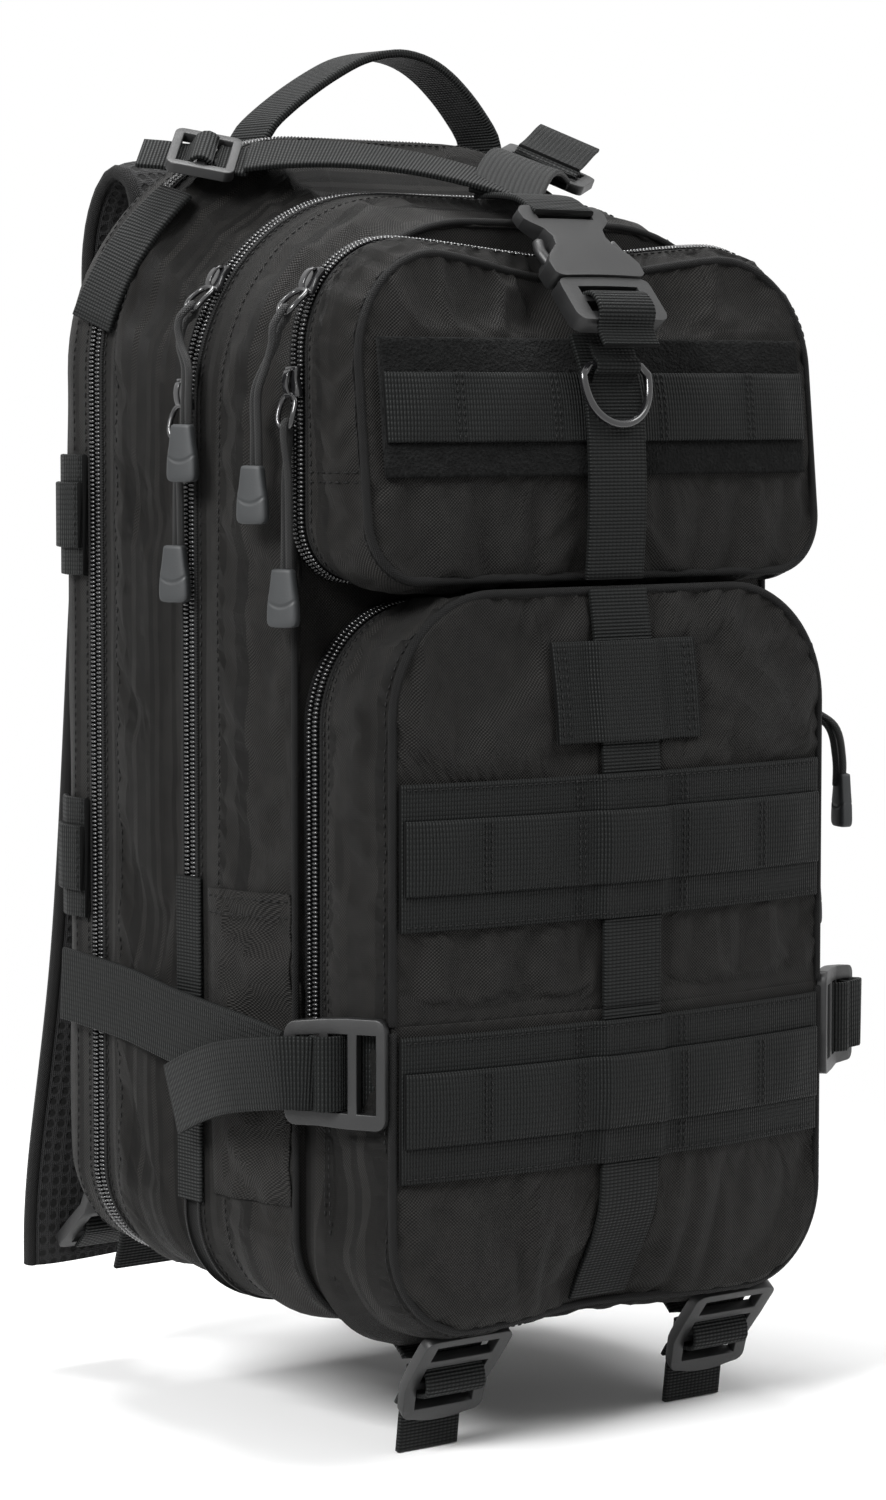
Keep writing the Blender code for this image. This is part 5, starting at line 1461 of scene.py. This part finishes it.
for side, hand in HANDS:
    half_pad = PAD_THICK / 2
    top = Vector((side * 0.050, Y_BACK + half_pad + 0.0006, 0.395 + half_pad + 0.005))
    middle_x = 0.050 + 0.030 * 0.25
    route = [
        top + Vector((0, 0, -half_pad)),
        top + Vector((0, 0.0002, 0)),
        top + Vector((0, 0.004, 0.011)),
        top + Vector((0, 0.014, 0.016)),
        top + Vector((0, 0.025, 0.009)),
        Vector((side * 0.050, 0.034 * 0.94, top.z - 0.012)),
        Vector((side * 0.050, 0.034, top.z - 0.055)),
        Vector((side * middle_x, 0.034 * 0.94, 0.255)),
        Vector((side * (middle_x + 0.080) / 2, 0.034 * 0.86, 0.118)),
        Vector((side * 0.080, 0.034 * 0.92, 0.024)),
        Vector((side * 0.080, 0.034, -0.011)),
    ]
    path = []
    for index, point in enumerate(route):
        along = (route[min(index + 1, len(route) - 1)] - route[max(index - 1, 0)]).normalized()
        sideways = Vector((1, 0, 0)) - along * along.x
        path.append((point, sideways.normalized().cross(along)))
    fine = smoothed(path, 0.005)
    pad = sweep(fine, pillow_section(0.0275, half_pad))
    carrier = f"shoulder_{hand}"
    padding = make(f"shoulder_pad_{hand}", pad, AIR_MESH, carrier, [f"shoulder_strap_{hand}"])
    for edge_side, _ in HANDS:
        bound = []
        for index, (point, normal) in enumerate(fine):
            along = (fine[min(index + 1, len(fine) - 1)][0] - fine[max(index - 1, 0)][0]).normalized()
            bound.append((point + along.cross(normal).normalized() * edge_side * 0.0265, normal))
        edge_name = "inner" if edge_side * side > 0 else "outer"
        section = [(a, b * 1.3) for a, b in round_section(0.0024, 10)]
        make(f"pad_binding_{edge_name}_{hand}", sweep(bound, section), TAPE, carrier)
    runner = [(point + normal * (half_pad - 0.0006), normal) for point, normal in fine[14:-4]]
    strap(f"pad_webbing_{hand}", runner, carrier, width=0.025, thick=0.0016)

    end = route[-1] + Vector((0, -half_pad - 0.0034, half_pad))
    lead = Vector((0, -0.75, 0.66)).normalized()
    place = set_at(end + lead * (LOCK / 2 + 0.0003), lead, Vector((0, 0.66, 0.75)))
    lock(f"shoulder_lock_{hand}", place, carrier)
    threaded(f"shoulder_weave_{hand}", place, carrier)
    web_x = side * 0.074
    under = end + lead * (LOCK * 0.8) + Vector((0, -0.0025, -0.0025))
    hung = run(BEHIND, (web_x, Y_BACK + 0.0003, 0.032), (web_x, Y_BACK + 0.0006, 0.024))
    hung += run(Vector((0, 1, 0.4)), (web_x, under.y - 0.006, under.z - 0.004))
    hung += run(BEHIND, (web_x, under.y - 0.003, under.z - 0.014), (web_x, under.y, -0.011))
    strap(f"shoulder_webbing_{hand}", hung, "back", [f"shoulder_webbing_{hand}"])

    # Compression strap along the side, its lock and its tail
    turn = math.radians(61 if side < 0 else 38)
    outward = Vector((side * math.sin(turn), -math.cos(turn), 0))
    rearward = Vector((side * math.cos(turn), math.sin(turn), 0))
    corner = Vector((side * (LOWER_SEAM.half + 0.0006), Y_FRONT + 0.0003, 0.093))
    corner -= outward * (0.0007 if side > 0 else 0)
    place = set_at(corner + rearward * (LOCK / 2 + 0.0003), rearward, outward)
    lock(f"compression_lock_{hand}", place, f"compression_{hand}")
    threaded(f"compression_weave_{hand}", place, f"compression_{hand}")
    rear = corner + rearward * (LOCK + 0.002)
    flank = side * 0.1249
    facing = Vector((side, 0, 0))
    strap_x = side * max(abs(rear.x), abs(flank))
    front_depth = rear.y + 0.0015
    bend_depth = max(Y_FACE + 0.012, front_depth + 0.016)
    drawn = run(
        facing, (flank, -0.022, 0.109), (flank, -0.0655, 0.1058), (flank, Y_MID_ZIP, 0.101),
        (strap_x, bend_depth, 0.096), (strap_x, front_depth, 0.093),
    )
    strap(f"compression_strap_{hand}", drawn, "back", [f"compression_strap_{hand}"])
    tail_x = side * (abs(strap_x) + WEB_THICK + 0.003)
    tail = [
        (corner + rearward * (LOCK * 0.72) + outward * (LOCK_THICK * 1.3 + 0.0009), outward),
        (corner + rearward * (LOCK + 0.001) + outward * (LOCK_THICK * 2 + 0.0012), outward),
    ]
    for share, out, sink in ((0.3, 0.004, 0.004), (0.65, 0.003, 0.010), (1.0, 0, 0.018)):
        tail.append((Vector((tail_x + side * out, front_depth + 0.060 * share, 0.093 - sink)), facing))
    strap(f"compression_tail_{hand}", tail, f"compression_{hand}", [f"compression_tail_{hand}"], width=0.0266)

    # Webbing loops on the rear gusset, and a flat sleeve on the side with a tape down its zip
    for place_name, height in (("high", 0.289), ("low", 0.158)):
        low_loop = []
        for depth in (-0.0345, -0.0285, -0.022, -0.0165, -0.0125):
            edge_x = 0.1217 - 0.0055 * ease((depth + 0.021) / 0.0105)
            low_loop.append((Vector((side * edge_x, depth, height)), facing))
        strap(f"side_loop_{place_name}_{hand}", low_loop, "back", width=0.046, finish=WIDE_WEBBING)
        raised = [(point + facing * 0.0022, normal) for point, normal in low_loop]
        strap(f"side_band_{place_name}_{hand}", raised, "back", width=0.025)
        lines = []
        for low, high, lift in ((-0.022, -0.013, 0.0024), (-0.012, 0.012, 0.0046), (0.013, 0.022, 0.0024)):
            foot = low_loop[0][0] + facing * lift + Vector((0, 0.0022, low))
            lines.append([(foot + UP * rise, facing) for rise in spaced(0, high - low, 4)])
        stitches(f"side_loop_stitches_{place_name}_{hand}", lines, "back")
    sleeve = []
    for part, height in enumerate(spaced(0.040, SLEEVE_TOP, 24)):
        out = facing * (0.0016 if part > 22 else 0.0010)
        sleeve.append([side_point(ring, side, height) + out for ring in mid_side[0][3:-3]])
    cloth(f"side_sleeve_{hand}", face_outward(patch(sleeve), facing), "mid_front", wall=0.0009)
    hems = []
    for drop in (0.0025, 0.0085):
        hems.append([(point + facing * 0.0002 + DOWN * drop, facing) for point in sleeve[-1]])
    stitches(f"sleeve_stitches_{hand}", hems, "mid_front")
    tape_x, tape_y = side * (MID.half + 0.0006), (Y_MID_ZIP + Y_MID) / 2
    tape = run(facing, *[(tape_x, tape_y, z) for z in spaced(SLEEVE_TOP + 0.003, 0.036, 10)])
    strap(f"zip_end_tape_{hand}", tape, "mid_front", width=0.0150, thick=0.0014)

    # Bottom strap and its lock below the front edge of the base
    lean = math.radians(38)
    hang = Vector((0, math.sin(lean), -math.cos(lean)))
    face_out = Vector((0, -math.cos(lean), -math.sin(lean)))
    x = side * 0.065 + 0.004
    lock_top = Vector((x, Y_FRONT + 0.006, -0.004 - LOCK_THICK))
    lock_centre = lock_top + hang * (LOCK / 2) - face_out * LOCK_THICK
    place = set_at(lock_centre, hang, face_out)
    lock(f"bottom_lock_{hand}", place, "mid_front")
    threaded(f"bottom_weave_{hand}", place, "mid_front")
    behind = lock_centre - face_out * (WEB_THICK + 0.0006)
    below = mid_belly.low - 0.0006
    slung = run(DOWN, (x, Y_FACE + 0.028, below), (x, Y_FACE + 0.008, below - 0.0003))
    slung += [
        (Vector((x, Y_FACE - 0.002, LOWER.low - 0.0009)), Vector((0, -0.2, -1))),
        (behind + hang * 0.003 + Vector((0, 0.004, 0.003)), Vector((0, -0.3, -1))),
        (behind + hang * 0.011, Vector((0, -1, -0.4))),
    ]
    slung += run(AHEAD, behind + hang * 0.015 + DOWN * 0.004, (x, behind.y + 0.012, -0.054))
    strap(f"bottom_strap_{hand}", slung, "mid_front", [f"bottom_strap_{hand}"], step=0.002)

# Carry handle

handle_drop = MAIN.top - math.sqrt(MAIN.top**2 - max(0.058 - 0.016 - MAIN.half + MAIN.top, 0) ** 2)
handle_axis = Vector((0.016, -0.028, MAIN.high - handle_drop + 0.0125 - 0.0003))
arch = [(-0.058, -0.0125), (-0.0535, -0.006), (-0.045, 0.001), (-0.034, 0.0085), (-0.022, 0.0155), (-0.010, 0.0212)]
arch += [(0.002, 0.0242), (0.012, 0.0248), (0.023, 0.0225), (0.033, 0.0175), (0.043, 0.0095), (0.051, 0.001)]
arch += [(0.0562, -0.006), (0.058, -0.0125)]
handle = []
for index, (x, z) in enumerate(arch):
    before, after = arch[max(index - 1, 0)], arch[min(index + 1, len(arch) - 1)]
    normal = Vector((before[1] - after[1], 0, after[0] - before[0]))
    handle.append((handle_axis + Vector((x, 0, z)) - normal.normalized() * 0.0016, normal))
grasp = strap("carry_handle", handle, None, ["carry_handle"], width=0.025, thick=0.0033)
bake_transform(grasp)

# Zip sliders and their pulls


class Track:
    """A zip's run: its outline, depth and side of the pack."""

    def __init__(self, outline, depth, side):
        self.outline, self.depth, self.side = outline, depth, side

    def at(self, angle, below, lift):
        """A point, its downward direction and its normal on the zip, from an angle in the top corner."""
        outline = self.outline
        bend = outline.top + 0.0012
        centre_x = self.side * (outline.half - outline.top)
        centre = Vector((centre_x, self.depth, outline.high - outline.top))
        run = angle * bend - below
        if angle and run > 0:
            angle, run = run / bend, 0
        else:
            angle = 0
        normal = Vector((self.side * math.cos(angle), 0, math.sin(angle)))
        down = Vector((self.side * math.sin(angle), 0, -math.cos(angle)))
        return centre + normal * (bend + lift) + Vector((0, 0, run)), down, normal


def joined(forms):
    """Several forms as one."""
    whole = bmesh.new()
    for form in forms:
        part = bpy.data.meshes.new("part")
        form.to_mesh(part)
        form.free()
        whole.from_mesh(part)
        bpy.data.meshes.remove(part)
    return whole


def slider_form():
    """A slider: a waisted body with a bridge on its top and an oblong ring through the bridge."""
    body = bmesh.new()
    bmesh.ops.create_cube(body, size=1)
    long_edges = [edge for edge in body.edges if abs(edge.verts[0].co.x - edge.verts[1].co.x) > 0.5]
    bmesh.ops.subdivide_edges(body, edges=long_edges, cuts=4, use_grid_fill=True)
    for vert in body.verts:
        share = vert.co.x + 0.5
        waist = 1 - 0.34 * math.sin(math.pi * min(share * 1.25, 1)) ** 2 * 0.6 - 0.22 * (1 - share)
        vert.co = (vert.co.x * 0.011, vert.co.y * 0.0090 * waist, vert.co.z * 0.0026 + 0.0009)
    bmesh.ops.bevel(body, geom=body.edges[:], offset=0.0005, affect="EDGES", segments=2, profile=0.5, material=-1)
    bridge = laid_on(
        Matrix(), UP, (-0.0042, 0.0018), (-0.0032, 0.0034), (0.0, 0.0040), (0.0034, 0.0034), (0.0048, 0.0018)
    )
    bridge = sweep(smoothed(bridge, 0.001), flat_section(0.0030, 0.0009))
    ring = []
    for turn in spaced(0, math.tau, 28)[:-1]:
        along = 0.0107 + 0.0060 * bowed(math.cos(turn), 0.8)
        up = 0.0024 + 0.0022 * ease((along - 0.004) / 0.010)
        ring.append((Vector((along, 0.0046 * bowed(math.sin(turn), 0.7), up)), UP))
    ring = sweep(ring, round_section(0.00105, 8), closed=True)
    return joined([body, bridge, ring])


CORD_RADIUS = 0.0014
GRIP_TURN = math.radians(20)
GRIP_NECKS = {0.0: 0.6, 0.645: 0.80, 1.0: 0.6}


def pull(name, track, angle, below, drift, length):
    """A doubled braided cord through a slider's ring and the moulded end on it."""
    reach = 0.0166
    level_at = 0.0041
    loop = 0.00255
    spot, down, facing = track.at(angle, below, level_at)
    bar = spot + down * reach
    bend = reach**2 / (2 * track.outline.top) if angle else 0
    stand = min(abs(drift) * 0.2, 0.0022)

    def hung(drop):
        drifted = ease((drop - 0.006) / 0.018)
        lift = level_at + bend + stand + (abs(drift) * 0.2 - stand) * drifted
        point, _, normal = track.at(angle, below + reach + drop, lift)
        return point + BEHIND * (drift * drifted), normal

    outer, inner = [], []
    aside = Vector((0, 0.0017, 0))
    drops = (length - 0.006, length * 0.65, length * 0.4, length * 0.25, 0.007, 0.0028)
    for drop, share in zip(drops, (0.0, 0.1, 0.15, 0.3, 0.8, 1.0)):
        point, normal = hung(drop)
        outer.append((point + normal * loop * share - aside, normal))
        inner.append((point - normal * loop * share + aside, normal))
    over = []
    for turn, shift in ((0, -1), (0.8, -0.7), (math.pi / 2, 0), (math.pi - 0.8, 0.7), (math.pi, 1)):
        round_bar = facing * math.cos(turn) - down * math.sin(turn)
        over.append((bar + round_bar * loop + aside * shift, BEHIND))
    path = [(point, Vector((0, 1, 0.2))) for point, _ in smoothed(outer + over + inner[::-1], 0.0018)]
    cord = make(f"{name}_cord", sweep(path, round_section(CORD_RADIUS, 8)), CORD, f"{name}_pull")
    rings = []
    shares = (0.0, 0.02, 0.06, 0.20, 0.40, 0.58, 0.62, 0.645, 0.67, 0.71, 0.80, 0.87, 0.93, 0.97, 0.99, 1.0)
    sizes = (0.56, 0.66, 0.70, 0.76, 0.84, 0.91, 0.925, 0.935, 0.945, 0.96, 0.99, 1.0, 0.96, 0.86, 0.70, 0.46)
    for share, size in zip(shares, sizes):
        centre, normal = hung(length - 0.021 * (1 - share) + 0.010)
        turned = normal * math.cos(GRIP_TURN) + AHEAD * math.sin(GRIP_TURN)
        broad = normal * math.sin(GRIP_TURN) + BEHIND * math.cos(GRIP_TURN)
        slim = min(0.55 + 0.45 * size, 1.0) * GRIP_NECKS.get(share, 1.0)
        ring = []
        for turn in spaced(0, math.tau, 28)[:-1]:
            through = 0.0027 * slim * bowed(math.sin(turn), 0.45)
            wide = size * bowed(math.cos(turn), 0.7)
            arc = 0.0030 * wide**2 * ease((share - 0.3) / 0.3) * ease((0.9 - share) / 0.2)
            ring.append(centre + normal * 0.0016 + turned * through + broad * (0.0064 * wide) + UP * arc)
        rings.append(ring)
    grip = make(f"{name}_grip", solid(rings), RUBBER, f"{name}_pull", [f"{name}_pull"])


main_track = Track(MAIN, (Y_MAIN_ZIP + Y_MAIN) / 2, 1)
mid_track = Track(MID, (Y_MID_ZIP + Y_MID) / 2, -1)
upper_track = Track(UPPER, (Y_FACE + Y_POCKET) / 2, -1)
lower_track = Track(LOWER, (Y_FACE + Y_POCKET) / 2, 1)
SLIDERS = (
    ("main_zip_upper", main_track, 0, 0.045, -0.011, 0.060),
    ("main_zip_lower", main_track, 0, 0.074, 0, 0.060),
    ("mid_zip_upper", mid_track, 0.62, 0, -0.011, 0.050),
    ("mid_zip_lower", mid_track, 0, -0.006, 0, 0.050),
    ("upper_zip_upper", upper_track, 0.62, 0, 0.011, 0.061),
    ("upper_zip_lower", upper_track, 0, 0.010, 0, 0.061),
    ("lower_zip_upper", lower_track, 0.62, 0, -0.0286, 0.049),
    ("lower_zip_lower", lower_track, 0, 0.010, -0.0176, 0.049),
)
for name, track, angle, below, drift, length in SLIDERS:
    spot, down, normal = track.at(angle, below, 0.0003)
    place = set_at(spot, down, normal)
    make(f"{name}_slider", placed(slider_form(), place), METAL, name, [f"{name}_slider"])
    pull(name, track, angle, below, drift, length)

# Back padding


def pad_face(x, z):
    """The quilted back: two columns of cushions with channels between them."""
    column = abs(math.sin(math.pi * (x + 0.098) / 0.098))
    rowed = abs(math.sin(math.pi * (z - 0.035) / 0.090))
    full = min(column**0.35, 1.0) * min(rowed**0.35, 1.0)
    edge = swell(PAD.inside(x, z) / 0.02)
    return -0.0070 + 0.0072 * full * edge


pad_rings = [PAD.ring(Y_BACK + 0.0004)] + [PAD.shrunk(share, pad_face) for share in SHARES]
pad = skin(pad_rings, front=True)
fill_rim(pad, lambda vert: vert.co.y > Y_BACK + 0.0008)
pad.normal_update()
face_outward(pad, BEHIND)
back_padding = make("back_padding", pad, AIR_MESH, "back", ["back_pad"])

# Floor, light and camera

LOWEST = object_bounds()[0][2]

floor_form = bmesh.new()
bmesh.ops.create_grid(floor_form, x_segments=1, y_segments=1, size=6)
bmesh.ops.translate(floor_form, vec=(0, 0, LOWEST - 0.0005), verts=floor_form.verts)
floor_mesh = bpy.data.meshes.new("floor")
floor_form.to_mesh(floor_mesh)
floor_form.free()
floor = bpy.data.objects.new("floor", floor_mesh)
bpy.context.scene.collection.objects.link(floor)
pale = Recipe("pale_floor", grey(0.94), 0.9, Specular_IOR_Level=0.1)
reach = pale.node("VectorMath", Vector=pale.node("TexCoord").outputs["Object"])
reach.operation = "LENGTH"
fade = pale.node("MapRange", Value=reach.outputs["Value"], From_Min=0.30, From_Max=0.75, To_Min=1.0, To_Max=0.0)
fade.interpolation_type = "SMOOTHSTEP"
pale.give(pale.shader, Alpha=fade.outputs[0])
floor_mesh.materials.append(pale.finish)

sky = bpy.data.worlds.new("studio")
sky.use_nodes = True
bpy.context.scene.world = sky
wires = Wiring(sky.node_tree)
rays = wires.node("LightPath").outputs
seen = wires.sum("MAXIMUM", rays["Is Camera Ray"], rays["Is Glossy Ray"])
seen = wires.sum("MAXIMUM", seen, rays["Is Transmission Ray"])
wires.give(sky.node_tree.nodes["Background"], Strength=wires.span(seen, 0.28, 1.0), Color=(1, 1, 1, 1))


def lamp(name, place, aim, size, power):
    made = bpy.data.lights.new(name, "AREA")
    made.shape = "RECTANGLE"
    made.size, made.size_y = size
    made.energy = power
    held = bpy.data.objects.new(name, made)
    held.location = place
    held.rotation_euler = (Vector(aim) - Vector(place)).to_track_quat("-Z", "Y").to_euler()
    bpy.context.scene.collection.objects.link(held)


lamp("key_softbox", (-2.0, -0.7, 1.4), (0, -0.1, 0.05), (0.9, 0.9), 84)
lamp("fill_softbox", (0.8, -1.4, 1.9), (0, -0.1, 0.0), (1.0, 1.0), 22)
lamp("top_softbox", (0.1, 0.3, 1.9), (0, -0.1, 0.1), (1.0, 0.8), 36)

lens = bpy.data.cameras.new("photo_camera")
lens.sensor_width = 36
lens.sensor_fit = "AUTO"
lens.lens = 103.1
camera = bpy.data.objects.new("photo_camera", lens)
camera.location = (-1.0210, -1.4048, 0.1176)
camera.rotation_euler = (math.radians(90 - 4.66), 0, math.radians(-38))
bpy.context.scene.collection.objects.link(camera)
bpy.context.scene.camera = camera
bpy.context.scene.view_settings.view_transform = "Standard"
